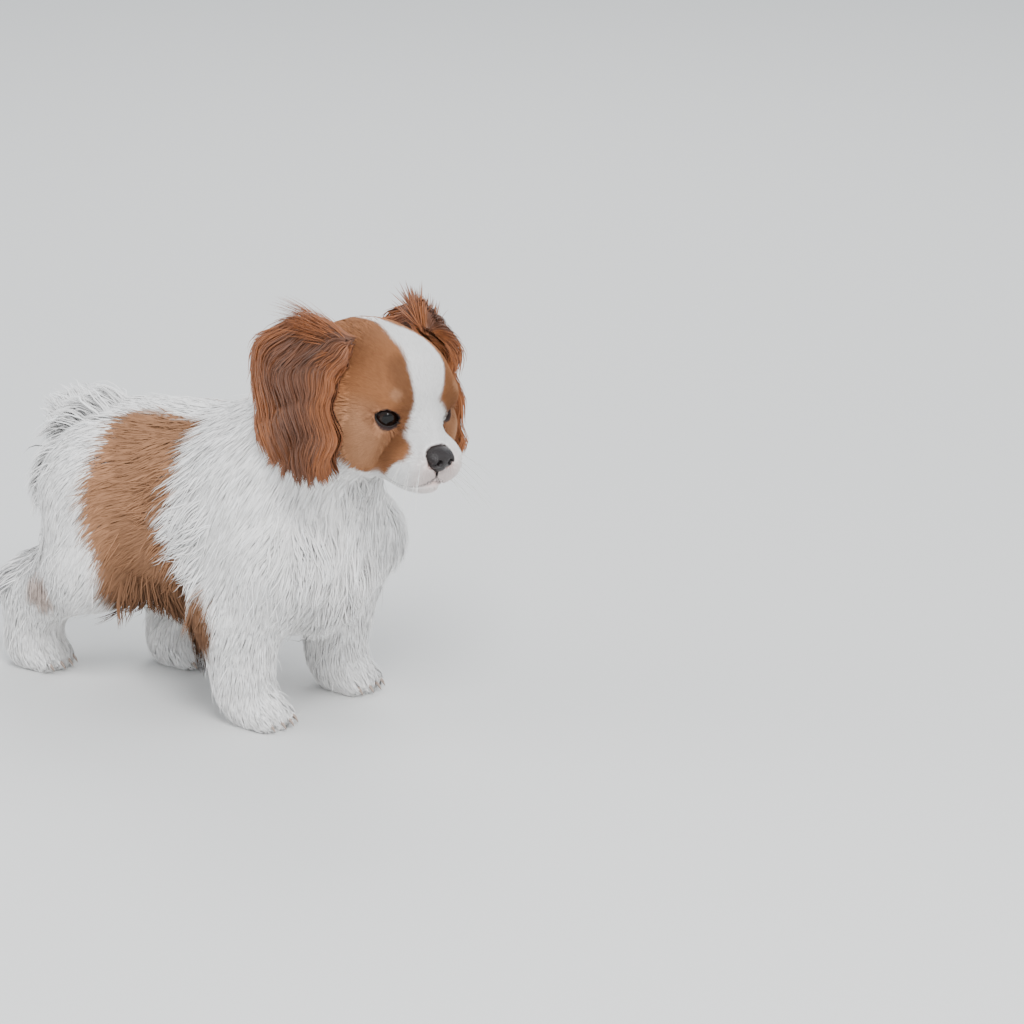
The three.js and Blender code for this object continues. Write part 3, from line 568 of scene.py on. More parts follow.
def chestnut_share(points):
    warped = points + np.stack([ripple(points, 7, seed) for seed in (1, 2, 3)], 1) * 1.3
    inside_head = to_head(warped)
    on_head = step_between(66, 58, np.linalg.norm(inside_head * [0.9, 1, 1], axis=1))
    behind_nape = step_between(-46, -38, inside_head[:, 0] + 0.3 * inside_head[:, 2])
    return np.maximum(head_chestnut(inside_head) * on_head * behind_nape, saddle_chestnut(warped))


def tinted(colour, tint, share):
    share = share[:, None]
    return colour * (1 - share) + tint * share


# Marks on the folded head: colour, share, far and close distance, and the line or spot
RED_MARKS = [
    (CHESTNUT_PALE, 0.7, 26, 8, [(26, 32, -12)]),
    (CHESTNUT * 0.55, 0.8, 10, 2, [(30, 15, 28), (39, 14, 14), (43, 14, -8), (42, 20, -18)]),
    (CHESTNUT * 0.8, 0.6, 22, 8, [(2, 26, 26)]),
]
# Hair marks: a painted highlight on the brow, a dark tear line, painted shade in the crease behind the
# eye and round the eye, and pink skin on the muzzle
HAIR_MARKS_AND_PAINTED_SHADING = [
    # Painted highlight on the brow above the eye
    (CHESTNUT_PALE * 1.2, 0.5, 4.5, 2, [(38.6, 20.4, 13.9)]),
    (CHESTNUT_DARK, 0.6, 2.8, 1.0, [(38.6, 17.6, -4), (40.5, 16.8, -8)]),
    # Painted shade in the crease behind and above the eye
    (CHESTNUT_DARK, 0.45, 2.8, 0.8, [(33, 29, 6.5), (24, 35, 4.5), (14, 38, 4)]),
    # Painted shade round the eye, darkest near its socket
    (CHESTNUT_DARK * 1.4, 0.45, 13.5, 9.5, [EYE_AT]),
    (SKIN_PINK * 1.15, 0.4, 15, 5, [(57, 5, -24)]),
]


def marked(colour, places, marks):
    for tint, share, far, close, line in marks:
        colour = tinted(colour, tint, share * nearness(places, line, far, close))
    return colour


def coat_colour_and_painted_shading(points):
    """Colour of the hair that grows at each point, with painted shade towards the belly, round the eyes
    and in the crease behind them, and a painted highlight on the brow.
    """
    places = folded(to_head(points))
    flank = step_between(30, 10, points[:, 0])
    red = marked(tinted(CHESTNUT, CHESTNUT_PALE * 0.85, 0.8 * flank), places, RED_MARKS)
    red = red * (1 + 0.16 * ripple(points, 11, 7)[:, None])
    # Painted shade: the chestnut darker towards the belly, under the body
    low = step_between(100, 52, points[:, 2]) * flank * step_between(-118, -104, points[:, 0])
    red = red * (1 - 0.55 * low[:, None])
    return marked(tinted(WHITE, red, chestnut_share(points)), places, HAIR_MARKS_AND_PAINTED_SHADING)


def skin_colour(points):
    """Colour of the skin: the coat's a little darker, as painted shade under the hair, with dark lips
    and lid rims and a pinkish snout.
    """
    inside_head = to_head(points)
    # A little darker than the hair over it: painted shade under the hair
    colour = coat_colour_and_painted_shading(points) * 0.95
    colour = tinted(colour, SKIN_PINK, 0.75 * nearness(inside_head, [(58, 0, -22)], 14, 6))
    colour = tinted(colour, LIP_DARK, step_between(2.7, 1.8, mouth_distance(inside_head)))
    colour = tinted(colour, LIP_DARK, step_between(1.3, 0.5, nose_field(points)))
    for side in (-1, 1):
        colour = tinted(colour, LIP_DARK, step_between(1.5, 1.2, lid_opening(points, side)))
    return colour


# Where the design frame lies in the row frame, from the box of the right eye
eye_low, eye_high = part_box("eye_right")
SHIFT = (np.array(eye_low) + np.array(eye_high)) / 2 - from_head(mirrored(EYE_AT, -1)) * MM


def to_frame(points):
    return np.asarray(points) * MM + SHIFT


# Materials
def material(name, colour=None, attribute=None, roughness=0.6, specular=0.4, coat_weight=0.0, bump=None):
    made = bpy.data.materials.new(name)
    made.use_nodes = True
    nodes, links = made.node_tree.nodes, made.node_tree.links
    shader = nodes["Principled BSDF"]
    shader.inputs["Roughness"].default_value = roughness
    shader.inputs["Specular IOR Level"].default_value = specular
    shader.inputs["Coat Weight"].default_value = coat_weight
    shader.inputs["Coat Roughness"].default_value = 0.03
    if attribute:
        source = nodes.new("ShaderNodeAttribute")
        source.attribute_name = attribute
        links.new(source.outputs["Color"], shader.inputs["Base Color"])
    else:
        shader.inputs["Base Color"].default_value = (*colour, 1)
    if bump:
        scale, strength, distance = bump
        texture = nodes.new("ShaderNodeTexVoronoi")
        texture.inputs["Scale"].default_value = scale
        place = nodes.new("ShaderNodeTexCoord")
        links.new(place.outputs["Object"], texture.inputs["Vector"])
        relief = nodes.new("ShaderNodeBump")
        relief.inputs["Strength"].default_value = strength
        relief.inputs["Distance"].default_value = distance
        links.new(texture.outputs["Distance"], relief.inputs["Height"])
        links.new(relief.outputs["Normal"], shader.inputs["Normal"])
    return made


SKIN = material("skin", attribute="coat", roughness=0.7, specular=0.25)
HAIR = material("hair", attribute="coat", roughness=0.75, specular=0.2)
EAR_HAIR = material("ear_hair", attribute="coat", roughness=0.45, specular=0.4)
NOSE = material("nose_leather", (0.012, 0.008, 0.008), roughness=0.34, bump=(1500, 0.5, 0.0004))
LID = material("lid_rim", (0.012, 0.007, 0.006), roughness=0.4)
CLAW = material("claw", (0.40, 0.31, 0.26), roughness=0.4)
WHISKER = material("whisker", (0.85, 0.83, 0.8), roughness=0.35)


# Meshes
def linked(name, data):
    made = bpy.data.objects.new(name, data)
    bpy.context.scene.collection.objects.link(made)
    return made


def mesh_object(name, points, faces, finish, colours=None, uvs=None, normals=None):
    """A mesh in the row frame from design points, with faces of one size."""
    data = bpy.data.meshes.new(name)
    size = faces.shape[1]
    data.vertices.add(len(points))
    data.vertices.foreach_set("co", to_frame(points).astype(np.float32).ravel())
    data.loops.add(faces.size)
    data.loops.foreach_set("vertex_index", faces.astype(np.int32).ravel())
    data.polygons.add(len(faces))
    data.polygons.foreach_set("loop_start", np.arange(0, faces.size, size, dtype=np.int32))
    data.update(calc_edges=True)
    data.polygons.foreach_set("use_smooth", np.ones(len(faces), bool))
    if colours is not None:
        layer = data.color_attributes.new("coat", "FLOAT_COLOR", "POINT")
        rgba = np.ones((len(points), 4), np.float32)
        rgba[:, :3] = np.clip(colours, 0, 1)
        layer.data.foreach_set("color", rgba.ravel())
    if uvs is not None:
        layer = data.uv_layers.new(name="OFBake")
        layer.data.foreach_set("uv", uvs[faces.ravel()].astype(np.float32).ravel())
    data.validate()
    if normals is not None:
        data.normals_split_custom_set_from_vertices(normals)
    data.materials.append(finish)
    return linked(name, data)


def belong(piece, slot, *nodes):
    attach(piece, "root")
    if nodes:
        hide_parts(*nodes)
    return piece


# The skin, on a grid that is finest round the face
FINE, PLAIN = 1.05, 2.3
GRID = [
    grid_line([(-204, 46, PLAIN), (46, 122, FINE)]),
    grid_line([(-74, -50, PLAIN), (-50, 50, 1.3), (50, 84, PLAIN)]),
    grid_line([(-6, 28, 1.6), (28, 148, PLAIN), (148, 240, FINE)]),
]


def make_skin():
    points, quads = surface_nets(field_on_grid(skin_field, GRID), GRID)
    points[:, 2] = np.maximum(points[:, 2], 0.0)
    skin = mesh_object("skin", points, quads, SKIN, colours=in_chunks(skin_colour, points))
    bpy.context.view_layer.objects.active = skin
    skin.select_set(True)
    bpy.ops.object.mode_set(mode="EDIT")
    bpy.ops.mesh.select_all(action="SELECT")
    bpy.ops.uv.smart_project(angle_limit=math.radians(66), island_margin=0.002)
    bpy.ops.object.mode_set(mode="OBJECT")
    skin.select_set(False)
    skin.data.uv_layers[0].name = "OFBake"
    flat = np.empty(len(skin.data.loops) * 2, np.float32)
    skin.data.uv_layers[0].data.foreach_get("uv", flat)
    corner_uvs = flat.reshape(-1, 4, 2)
    nodes = ["head", "neck", "torso", "tail_base", "tail_end"]
    for word, _ in SIDES:
        nodes += [f"{leg}_{word}" for leg in ("foreleg", "forepaw", "hindpaw")]
        nodes += [f"hindleg_{word}_thigh", f"hindleg_{word}_shank"]
    belong(skin, "coat_white", *nodes)
    return points, quads, corner_uvs


# Tufts: three-sided tapering strands through rings of points
def strands(paths, sides, widths, flatness=0.35):
    """Closed strands from (count, rings, 3) paths: their points, triangles and outward ways."""
    count, rings, _ = paths.shape
    ahead = unit(np.gradient(paths, axis=1))
    across = unit(sides - (sides * ahead).sum(2, keepdims=True) * ahead)
    up = np.cross(ahead, across)
    taper = widths[:, :, None] / 2
    body = paths[:, :-1]
    corner = [
        body + (across * taper)[:, :-1],
        body - (across * taper)[:, :-1],
        body + (up * taper * flatness * 2)[:, :-1],
    ]
    ring_points = np.stack(corner, 2).reshape(count, -1, 3)
    outward = np.stack([across, -across, up], 2)[:, :-1].reshape(count, -1, 3)
    outward = np.concatenate([outward, ahead[:, -1:]], 1)
    points = np.concatenate([ring_points, paths[:, -1:]], 1)
    points[:, :, 2] = np.maximum(points[:, :, 2], 0.05)
    faces = [(0, 1, 2)]
    for r in range(rings - 2):
        for n in range(3):
            a, b = 3 * r + n, 3 * r + (n + 1) % 3
            faces += [(a, a + 3, b), (b, a + 3, b + 3)]
    last = 3 * (rings - 2)
    faces += [(last + n, 3 * (rings - 1), last + (n + 1) % 3) for n in range(3)]
    faces = np.array(faces)
    first = points[0][faces]
    if np.einsum("ij,ij->i", first[:, 0], np.cross(first[:, 1], first[:, 2])).sum() < 0:
        faces = faces[:, ::-1]
    offsets = np.arange(count)[:, None, None] * points.shape[1]
    return points.reshape(-1, 3), (faces[None] + offsets).reshape(-1, 3), outward


def strand_colours(colours, rings, root_shade=0.92, tip_shade=1.04):
    """Darker at the root and lighter at the tip, for each point of each strand: painted shade deep in
    the coat and painted light at the tips.
    """
    shade = np.repeat(np.linspace(root_shade, tip_shade, rings)[:-1], 3)
    shade = np.append(shade, tip_shade)
    return (colours[:, None, :] * shade[None, :, None]).reshape(-1, 3)


# Side of a strand's patch on the unwrap
PATCH = 0.003


def strand_uvs(roots, rings):
    """Each strand is a small patch at its root's place on the skin's unwrap."""
    t = np.append(np.repeat(np.linspace(0, 1, rings)[:-1], 3), 1.0)
    s = np.append(np.tile([0.0, 1.0, 0.5], rings - 1), 0.5)
    patch = np.stack([s, t], 1) * PATCH
    return (roots[:, None, :] + patch[None]).reshape(-1, 2)


# Most triangles in one coat piece
LIMIT = 195000
# Share of the coat's own normal in a strand's shading, and the least that is left of the strand's
COAT_SHADING = 0.8
LEAST_OUTWARD = 0.25
# Added to the shading of loose hair, which catches light from above
LIFTED = np.array([0, 0, 0.5])


def soft_normals(outward, facing):
    """Strands are shaded mostly as the coat they lie in, so that fur looks soft."""
    facing = np.repeat(facing[:, None], outward.shape[1], 1)
    facing[:, :, 2] = np.maximum(facing[:, :, 2], -0.1)
    mixed = facing * COAT_SHADING + outward * (1 - COAT_SHADING)
    short = LEAST_OUTWARD - (mixed * outward).sum(-1, keepdims=True)
    return unit(mixed + outward * np.maximum(short, 0)).reshape(-1, 3)


def add_strands(name, paths, sides, widths, colours, roots_uv, finish, slot, facing=None):
    """One or more coat pieces, each within the limit on triangles."""
    rings = paths.shape[1]
    each = 6 * (rings - 2) + 4
    share = LIMIT // each
    for number, start in enumerate(range(0, len(paths), share)):
        part = slice(start, start + share)
        points, faces, outward = strands(paths[part], sides[part], widths[part])
        normals = None if facing is None else soft_normals(outward, facing[part])
        tint = strand_colours(colours[part], rings)
        uvs = strand_uvs(roots_uv[part], rings)
        piece = mesh_object(f"{name}_{number}", points, faces, finish, tint, uvs, normals)
        belong(piece, slot)


def roots_on(points, quads, corner_uvs, weights, count):
    """Random places on the skin's faces, with their normals and their place on its unwrap."""
    chosen = rng.choice(len(quads), count, p=weights / weights.sum())
    u, v = rng.random((2, count, 1))
    mix = [(1 - u) * (1 - v), u * (1 - v), u * v, (1 - u) * v]
    corners = points[quads[chosen]]
    place = sum(m * corners[:, i] for i, m in enumerate(mix))
    uv = sum(m * corner_uvs[chosen, i] for i, m in enumerate(mix))
    normal = unit(np.cross(corners[:, 2] - corners[:, 0], corners[:, 3] - corners[:, 1]))
    return place, normal, uv


def face_areas(points, quads):
    a, b, c, d = (points[quads[:, i]] for i in range(4))
    return np.linalg.norm(np.cross(c - a, d - b), axis=1) / 2


def hair_values(points, wanted, size=60000):
    """The wanted hair values of the coat at many points."""
    parts = [coat_field(points[i:i + size], wanted)[1] for i in range(0, len(points), size)]
    return {key: np.concatenate([part[key] for part in parts]) for key in wanted}


def bare_places(places):
    """True where no hair grows: lips, nose leather, soles and eye openings."""
    bare = (mouth_distance(to_head(places)) < 2.9) | (nose_field(places) < 0.25)
    bare |= places[:, 2] < 0.8
    for side in (-1, 1):
        bare |= lid_opening(places, side) < 1.17
        bare |= line_distance(places, [eye_frame(side)[0]]) < EYE_RADIUS + 1.7
    return bare


def clumped(paths, roots, every, pull, reach):
    """Draw the ends of strands together towards one strand in so many."""
    guides = np.arange(0, len(paths), every)
    tree = kdtree.KDTree(len(guides))
    for n, g in enumerate(guides):
        tree.insert(roots[g], n)
    tree.balance()
    nearest = [tree.find(root)[1:] for root in roots]
    index = guides[np.array([n for n, _ in nearest])]
    gap = np.array([d for _, d in nearest])
    t = np.linspace(0, 1, paths.shape[1])[None, :, None]
    share = pull * t ** 1.6 * (gap < reach)[:, None, None]
    return paths * (1 - share) + paths[index] * share


# How closely hair follows the curve of the coat, from 0 to 1
FOLLOW = 0.85
ROOT_DEPTH = 0.6
LOWEST_HAIR = 0.3


def hair_paths(place, normal, lie, length, rise, inset, rings, droop=0.08, scatter=0.14):
    """Curved paths from the skin, which is inset from the coat, that lean along the lie and rise."""
    count = len(place)
    swirl = 0.26 * ripple(place, 16, 11) + 0.26 * ripple(place, 42, 12)
    swirl = swirl[:, None] + rng.normal(0, scatter, (count, 1))
    flat = unit(lie - (lie * normal).sum(1, keepdims=True) * normal)
    aside = np.cross(normal, flat)
    heading = unit(flat + swirl * aside)
    t = np.linspace(0, 1, rings)[None, :, None]
    slope = np.minimum(rise * 0.95 / length, 0.8)[:, None, None]
    slope = slope * (1 + rng.normal(0, 0.14, (count, 1, 1)))
    reach = length[:, None, None]
    climb = slope * (1 - (1 - t) ** 1.8) * reach
    paths = place[:, None] + heading[:, None] * t * reach * np.sqrt(np.maximum(1 - slope ** 2, 0.3))
    paths = paths + normal[:, None] * climb
    paths[:, :, 2] -= droop * (t[:, :, 0] ** 2) * length[:, None]
    wanted = climb[:, :, 0] - inset[:, None]
    for ring in range(1, rings):
        over = wanted[:, ring] - in_chunks(coat_field, paths[:, ring])
        paths[:, ring] += normal * np.clip(over, -4, 5)[:, None] * FOLLOW
    paths[:, 0] -= normal * ROOT_DEPTH
    paths[:, :, 2] = np.maximum(paths[:, :, 2], LOWEST_HAIR)
    return paths, np.cross(normal, heading)


def strand_widths(width, rings):
    profile = read_off(np.linspace(0, 1, rings), [(0, 0.8), (0.25, 1.0), (0.7, 0.62), (1, 0.0)])
    return width[:, None] * profile[None]


def varied(colours, spread=0.09):
    return colours * (1 + rng.normal(0, spread, (len(colours), 1)))


# Layers of hair: name, shortest and longest hair, count, rings, and how far tips draw together
LAYERS = [
    ("coat_fine", 0, 6.9, 84000, 2, 0.0),
    ("coat_short", 6.9, 12, 19000, 3, 0.2),
    ("coat_long", 12, 99, 50000, 3, 0.3),
]
STRAY_HAIRS = 1500
# How far the skin lies under the coat where feathering grows
FEATHER_INSET = 2.6
# Feathering: a place on the coat, its reach, the way the hair points, its length, how far
# its tips stand off the skin, and its count
FEATHERS = [
    ((-134, -8, 154), 24, (-0.8, -0.05, 0.6), 33, 14, 460),
    ((-152, 4, 140), 22, (-0.9, 0.0, 0.4), 28, 12, 340),
    ((-150, -26, 122), 28, (-0.9, -0.15, -0.1), 26, 8, 320),
    ((-152, -30, 88), 24, (-0.6, -0.1, -0.75), 24, 6, 220),
    ((-136, 34, 92), 26, (-0.6, 0.2, -0.75), 22, 6, 200),
    ((-178, -34, 60), 18, (-0.9, -0.15, -0.3), 19, 6, 190),
    ((-118, 30, 58), 18, (-0.9, 0.15, -0.3), 16, 7, 140),
    ((-40, -48, 122), 28, (-0.95, -0.1, -0.35), 28, 5, 330),
    ((-36, -50, 88), 24, (-0.9, -0.1, -0.5), 26, 5, 240),
    ((-46, 46, 112), 34, (-0.95, 0.1, -0.35), 26, 5, 300),
    ((-30, -44, 60), 18, (-0.75, -0.15, -0.65), 20, 6, 220),
    ((-26, 44, 58), 20, (-0.75, 0.15, -0.65), 22, 7, 200),
    ((34, -4, 84), 30, (0.15, 0, -1), 27, 7, 260),
    ((30, -30, 112), 26, (0.1, -0.3, -1), 26, 6, 220),
    ((-6, 0, 52), 26, (-0.3, 0, -0.95), 24, 7, 200),
    ((-70, 0, 52), 36, (-0.5, 0, -0.85), 20, 7, 200),
    ((-74, -34, 62), 24, (-0.1, -0.05, -1), 30, 7, 320),
    ((-50, -38, 60), 22, (0.2, -0.1, -1), 27, 7, 320),
    ((-66, 34, 62), 26, (-0.3, 0.05, -1), 26, 8, 220),
    ((44, -6, 150), 20, (0.25, 0, -1), 20, 5, 170),
]


def round_the_eyes(place, lie):
    """Near an eye the hair points away from it, so that none lies over it."""
    for side in (-1, 1):
        centre = eye_frame(side)[0]
        near = nearness(place, [centre], 14.5, 10.5)[:, None]
        lie = lie * (1 - near) + unit(place - centre) * near
    return lie


def add_hair(name, place, paths, sides, width, uv, facing):
    """Strands in the coat's own colour at each root."""
    colours = varied(in_chunks(coat_colour_and_painted_shading, place))
    widths = strand_widths(width, paths.shape[1])
    add_strands(name, paths, sides[:, None], widths, colours, uv, HAIR, "coat_white", facing)


def grow_layer(skin, name, weights, count, rings, pull):
    place, normal, uv = roots_on(*skin, weights, count)
    keep = ~in_chunks(bare_places, place)
    place, normal, uv = place[keep], normal[keep], uv[keep]
    hair = hair_values(place, ("lie", "length", "depth", "width"))
    length = hair["length"] * rng.uniform(0.75, 1.2, len(place))
    lie = round_the_eyes(place, hair["lie"])
    paths, sides = hair_paths(place, normal, lie, length, hair["depth"], hair["depth"], rings)
    if pull:
        paths = clumped(paths, place, 9, pull, 9)
    width = hair["width"] * rng.uniform(0.8, 1.25, len(place))
    add_hair(name, place, paths, sides, width, uv, normal)


def grow_strays(skin, weights, count=STRAY_HAIRS, rings=5):
    """Single hairs that are longer than the coat and stand further off it."""
    place, normal, uv = roots_on(*skin, weights, count)
    hair = hair_values(place, ("lie", "length", "depth", "width"))
    length = hair["length"] * rng.uniform(1.1, 1.5, count)
    rise = hair["depth"] * rng.uniform(1.0, 2.2, count)
    paths, sides = hair_paths(
        place, normal, hair["lie"], length, rise, hair["depth"], rings, scatter=0.3)
    add_hair("coat_stray", place, paths, sides, hair["width"] * 0.6, uv, normal * 0.4 + LIFTED)


def grow_feathers(skin, centres, area, rings=6):
    """Longer wavy locks at the rump, hocks, elbows, shoulders, chest and belly."""
    made = []
    t = np.linspace(0, 1, rings)
    for place, reach, heading, length, rise, count in FEATHERS:
        near = np.linalg.norm(centres - place, axis=1)
        root, normal, uv = roots_on(*skin, area * np.clip(1 - near / reach, 0, 1), count)
        way = unit(np.array(heading) + rng.normal(0, 0.12, (count, 3)))
        span = length * rng.uniform(0.7, 1.15, count)
        rises, insets = np.full(count, rise), np.full(count, FEATHER_INSET)
        paths, sides = hair_paths(root, normal, way, span, rises, insets, rings, droop=0.1)
        sway = np.sin(2 * math.pi * (1.1 * t + root[:, :1] / 23 + root[:, 2:] / 31)) * t
        paths = paths + sides[:, None] * (sway * span[:, None] * 0.06)[:, :, None]
        paths = clumped(paths, root, 12, 0.6, 14)
        paths[:, :, 2] = np.maximum(paths[:, :, 2], LOWEST_HAIR)
        made.append((root, paths, sides, uv, normal))
    root, paths, sides, uv, normal = (np.concatenate(parts) for parts in zip(*made))
    width = rng.uniform(0.7, 1.15, len(paths))
    add_hair("coat_feathers", root, paths, sides, width, uv, normal * 0.4 + LIFTED)


def grow_coat(points, quads, corner_uvs):
    skin = (points, quads, corner_uvs)
    centres = points[quads].mean(1)
    area = face_areas(points, quads)
    values = hair_values(centres, ("density", "length"))
    share = area * values["density"]
    for name, low, high, count, rings, pull in LAYERS:
        chosen = (values["length"] >= low) & (values["length"] < high)
        grow_layer(skin, name, share * chosen, count, rings, pull)
    grow_strays(skin, share * (values["length"] > 8))
    grow_feathers(skin, centres, area)


# Ears
def spline(knots, t):
    """A smooth curve through knots, one for all or one for each t, with t from 0 to 1."""
    last = knots.shape[-2] - 1
    t = np.asarray(t, float) * last
    i = np.clip(np.floor(t).astype(int), 0, last - 1)
    f = (t - i)[..., None]

    def knot(n):
        n = np.clip(n, 0, last)
        return knots[n] if knots.ndim == 2 else knots[np.arange(len(t)), n]

    a, b, c, d = knot(i - 1), knot(i), knot(i + 1), knot(i + 2)
    before = np.where((i == 0)[..., None], 2 * b - c, a)
    after = np.where((i == last - 1)[..., None], 2 * c - b, d)
    bend = f * (c - before) / 2
    curve = b + bend + f ** 2 * (before - 2.5 * b + 2 * c - after / 2)
    return curve + f ** 3 * (1.5 * (b - c) + (after - before) / 2)


# Drop of the hair past the ear's end, for each unit of v
EAR_DROP = 90


def ear_point(side, u, v):
    """A place on an ear's flap: u from its rear edge to its front, v from root to end."""
    inner = np.clip(v, -0.12, 1.0)
    lines = np.stack([spline(line, inner) for line in EAR_LINES], 1)
    spot = spline(lines, np.clip(u, -0.14, 1.08))
    spot[:, 1] *= -side
    place = from_head(spot)
    place[:, 2] -= np.maximum(v - 1.0, 0) * EAR_DROP
    return place


def ear_normal(side, u, v, h=0.02):
    inner, u = np.clip(v, h, 1 - h), np.clip(u, h, 1 - h)
    along = ear_point(side, u, inner + h) - ear_point(side, u, inner - h)
    over = ear_point(side, u + h, inner) - ear_point(side, u - h, inner)
    normal = unit(np.cross(along, over))
    return np.where((normal[:, 1] * side < 0)[:, None], -normal, normal)


# The leather ends short of the hair, and its unwrap has the outer face on the left
LEATHER_END = 0.86
UNWRAP = 0.48


def ear_leather(side, word, across=22, along=30):
    """The flap under the hair: two sheets a little apart, closed round their rim."""
    u, v = np.meshgrid(np.linspace(0.05, 0.9, across), np.linspace(0, LEATHER_END, along), indexing="ij")
    u, v = u.ravel(), v.ravel()
    middle, normal = ear_point(side, u, v), ear_normal(side, u, v)
    swell = np.sin(math.pi * u) * np.minimum(1, 0.4 + 3 * (LEATHER_END - v))
    half = (0.5 + 0.9 * np.sqrt(np.clip(swell, 0, 1)))[:, None]
    points = np.concatenate([middle + normal * half, middle - normal * half])
    sheet = across * along
    index = np.arange(sheet).reshape(across, along)
    quads = [index[:-1, :-1], index[:-1, 1:], index[1:, 1:], index[1:, :-1]]
    quads = np.stack(quads, -1).reshape(-1, 4)
    rim = np.concatenate([index[0, :-1], index[:-1, -1], index[-1, :0:-1], index[:0:-1, 0]])
    ahead = np.roll(rim, -1)
    band = np.stack([rim, rim + sheet, ahead + sheet, ahead], 1)
    faces = np.concatenate([quads, quads[:, ::-1] + sheet, band])
    if side > 0:
        faces = faces[:, ::-1]
    colours = np.tile(CHESTNUT * 0.35, (len(points), 1))
    outer = np.arange(len(points)) < sheet
    uvs = np.tile(np.stack([u * 0.5, v / LEATHER_END], 1), (2, 1))
    uvs[:, 0] = np.where(outer, uvs[:, 0], 1 - uvs[:, 0])
    leather = mesh_object(f"ear_leather_{word}", points, faces, SKIN, colours, uvs)
    belong(leather, "coat_chestnut", f"ear_{word}")


def add_ear_strands(name, paths, sides, width, colours, u, v, facing=None):
    """Strands with the places of their roots on the leather's unwrap."""
    uv = np.stack([u, np.clip(v, 0, 0.99)], 1)
    widths = strand_widths(width, paths.shape[1])
    add_strands(name, paths, sides, widths, colours, uv, EAR_HAIR, "coat_chestnut", facing)


def ear_colour(u, v, count):
    """Dark down the middle of the ear, orange towards its edges and its end; the orange edges and end
    are partly the ear's own colour and partly painted highlight.
    """
    edge = np.clip(np.abs(u - 0.52) * 2.1 + 0.35 * (v - 0.5) + rng.normal(0, 0.16, count), 0, 1)
    edge = step_between(0.25, 0.95, edge)
    return varied(tinted(CHESTNUT_DARK * 1.1, EAR_RED, edge), 0.14)


EAR_WAVES = 3.4
# How far the hair near the root may stand off the ear's outer face
EAR_PUFF = {"right": 3.0, "left": 8.5}


def ear_locks(side, word, u, start, outer, rings):
    """Paths of wavy hair from places on the ear, drawn into locks, and their sideways directions."""
    count = len(u)
    end = 1.04 + 0.035 * np.sin(u * 31 + side) + rng.normal(0, 0.012, count)
    span = np.minimum(rng.uniform(0.2, 0.34, count), np.maximum(end - start, 0.07))
    lock = np.round(u * 13) / 13 + 0.03 * ripple(np.stack([u * 60, start * 30, u * 0], 1), 4, 21)
    lift = rng.uniform(0.6, 1.5, count)
    phase = 5 * u + side + 1.5 * ripple(np.stack([u * 40, start * 60, u * 0], 1), 9, 22)
    flare = -0.12 * np.clip(1 - u / 0.25, 0, 1) * rng.uniform(0, 1, count)
    if side > 0:
        flare = flare + 0.13 * np.clip((u - 0.7) / 0.3, 0, 1) * rng.uniform(0.2, 1, count)
    puff = rng.uniform(0, EAR_PUFF[word], count)
    paths, sides = np.empty((2, count, rings, 3))
    for r, t in enumerate(np.linspace(0, 1, rings)):
        v = start + span * t
        low = np.clip(v, 0, 1)
        pull = 0.45 * t ** 1.3
        swing = 2 * math.pi * EAR_WAVES * v + phase
        wave = (0.012 + 0.042 * low) * np.sin(swing)
        here = u * (1 - pull) + lock * pull + wave + flare * t
        normal = ear_normal(side, here, v)
        rounding = puff * np.clip(1 - np.abs(v - 0.3) / 0.4, 0, 1)
        heave = 1.5 * np.sin(swing + 1.4) * low + rounding
        height = 1.0 + lift * (1.4 + 1.8 * t) + np.where(outer, heave, 0)
        paths[:, r] = ear_point(side, here, v) + normal * np.where(outer, height, -height)[:, None]
        sides[:, r] = np.cross(normal, [0, 0, 1.0])
    return paths, sides


def ear_hair(side, word, count=4500, rings=7):
    """Wavy locks that hang over both faces of the ear and curl at its end."""
    u = rng.uniform(0.0, 1.0, count)
    start = rng.uniform(0.0, 1.0, count) ** 0.85 - 0.08
    outer = rng.random(count) < 0.76
    paths, sides = ear_locks(side, word, u, start, outer, rings)
    inside = -1.0 - coat_field(paths.reshape(-1, 3)).reshape(count, rings)
    paths[:, :, 1] += np.maximum(inside, 0) * side * (start > 0.1)[:, None]
    width = rng.uniform(0.7, 1.25, count)
    # Painted light: the far left ear's hair a quarter lighter than the near right ear's, though both
    # ears have one colour
    colours = ear_colour(u, start, count) * (1.25 if side > 0 else 1.0)
    edge = np.clip((u - 0.5) / 0.5, 0, 1)[:, None] * 1.6
    facing = unit(ear_normal(side, u, start) + edge * (HEAD_TURN @ [1.0, 0, 0.15]))
    facing = facing * np.where(outer, 0.75, 0.0)[:, None]
    across = np.where(outer, u * UNWRAP, 1 - u * UNWRAP)
    add_ear_strands(f"ear_hair_{word}", paths, sides, width, colours, across, start, facing)


def fanned(root, heading, length, rings):
    """Straight paths, and how far along them each ring is, from 0 to 1."""
    t = np.linspace(0, 1, rings)[None, :, None]
    return root[:, None] + heading[:, None] * t * length[:, None, None], t


def ear_tufts(side, word, count=640, rings=6):
    """Wispy hair that sweeps up and back from the root of the ear."""
    u = rng.uniform(0.05, 0.8, count)
    v = rng.uniform(-0.04, 0.2, count)
    fan = rng.normal(0, 0.2, (count, 3))
    lean = np.stack([-1.0 + 0.4 * u, side * (0.3 + 0.2 * u), 0.62 - 0.1 * u], 1)
    heading = unit(lean + fan) @ HEAD_TURN.T
    length = rng.uniform(10, 27, count)
    paths, t = fanned(ear_point(side, u, v), heading, length, rings)
    back = HEAD_TURN @ np.array([-0.6, side * 0.6, -0.5])
    paths = paths + back * (t ** 2) * length[:, None, None] * 0.5
    sides = np.cross(heading, back)[:, None]
    width = rng.uniform(0.45, 0.9, count)
    colours = varied(np.tile(EAR_RED * 1.1, (count, 1)), 0.16)
    add_ear_strands(f"ear_tufts_{word}", paths, sides, width, colours, u * UNWRAP, v)


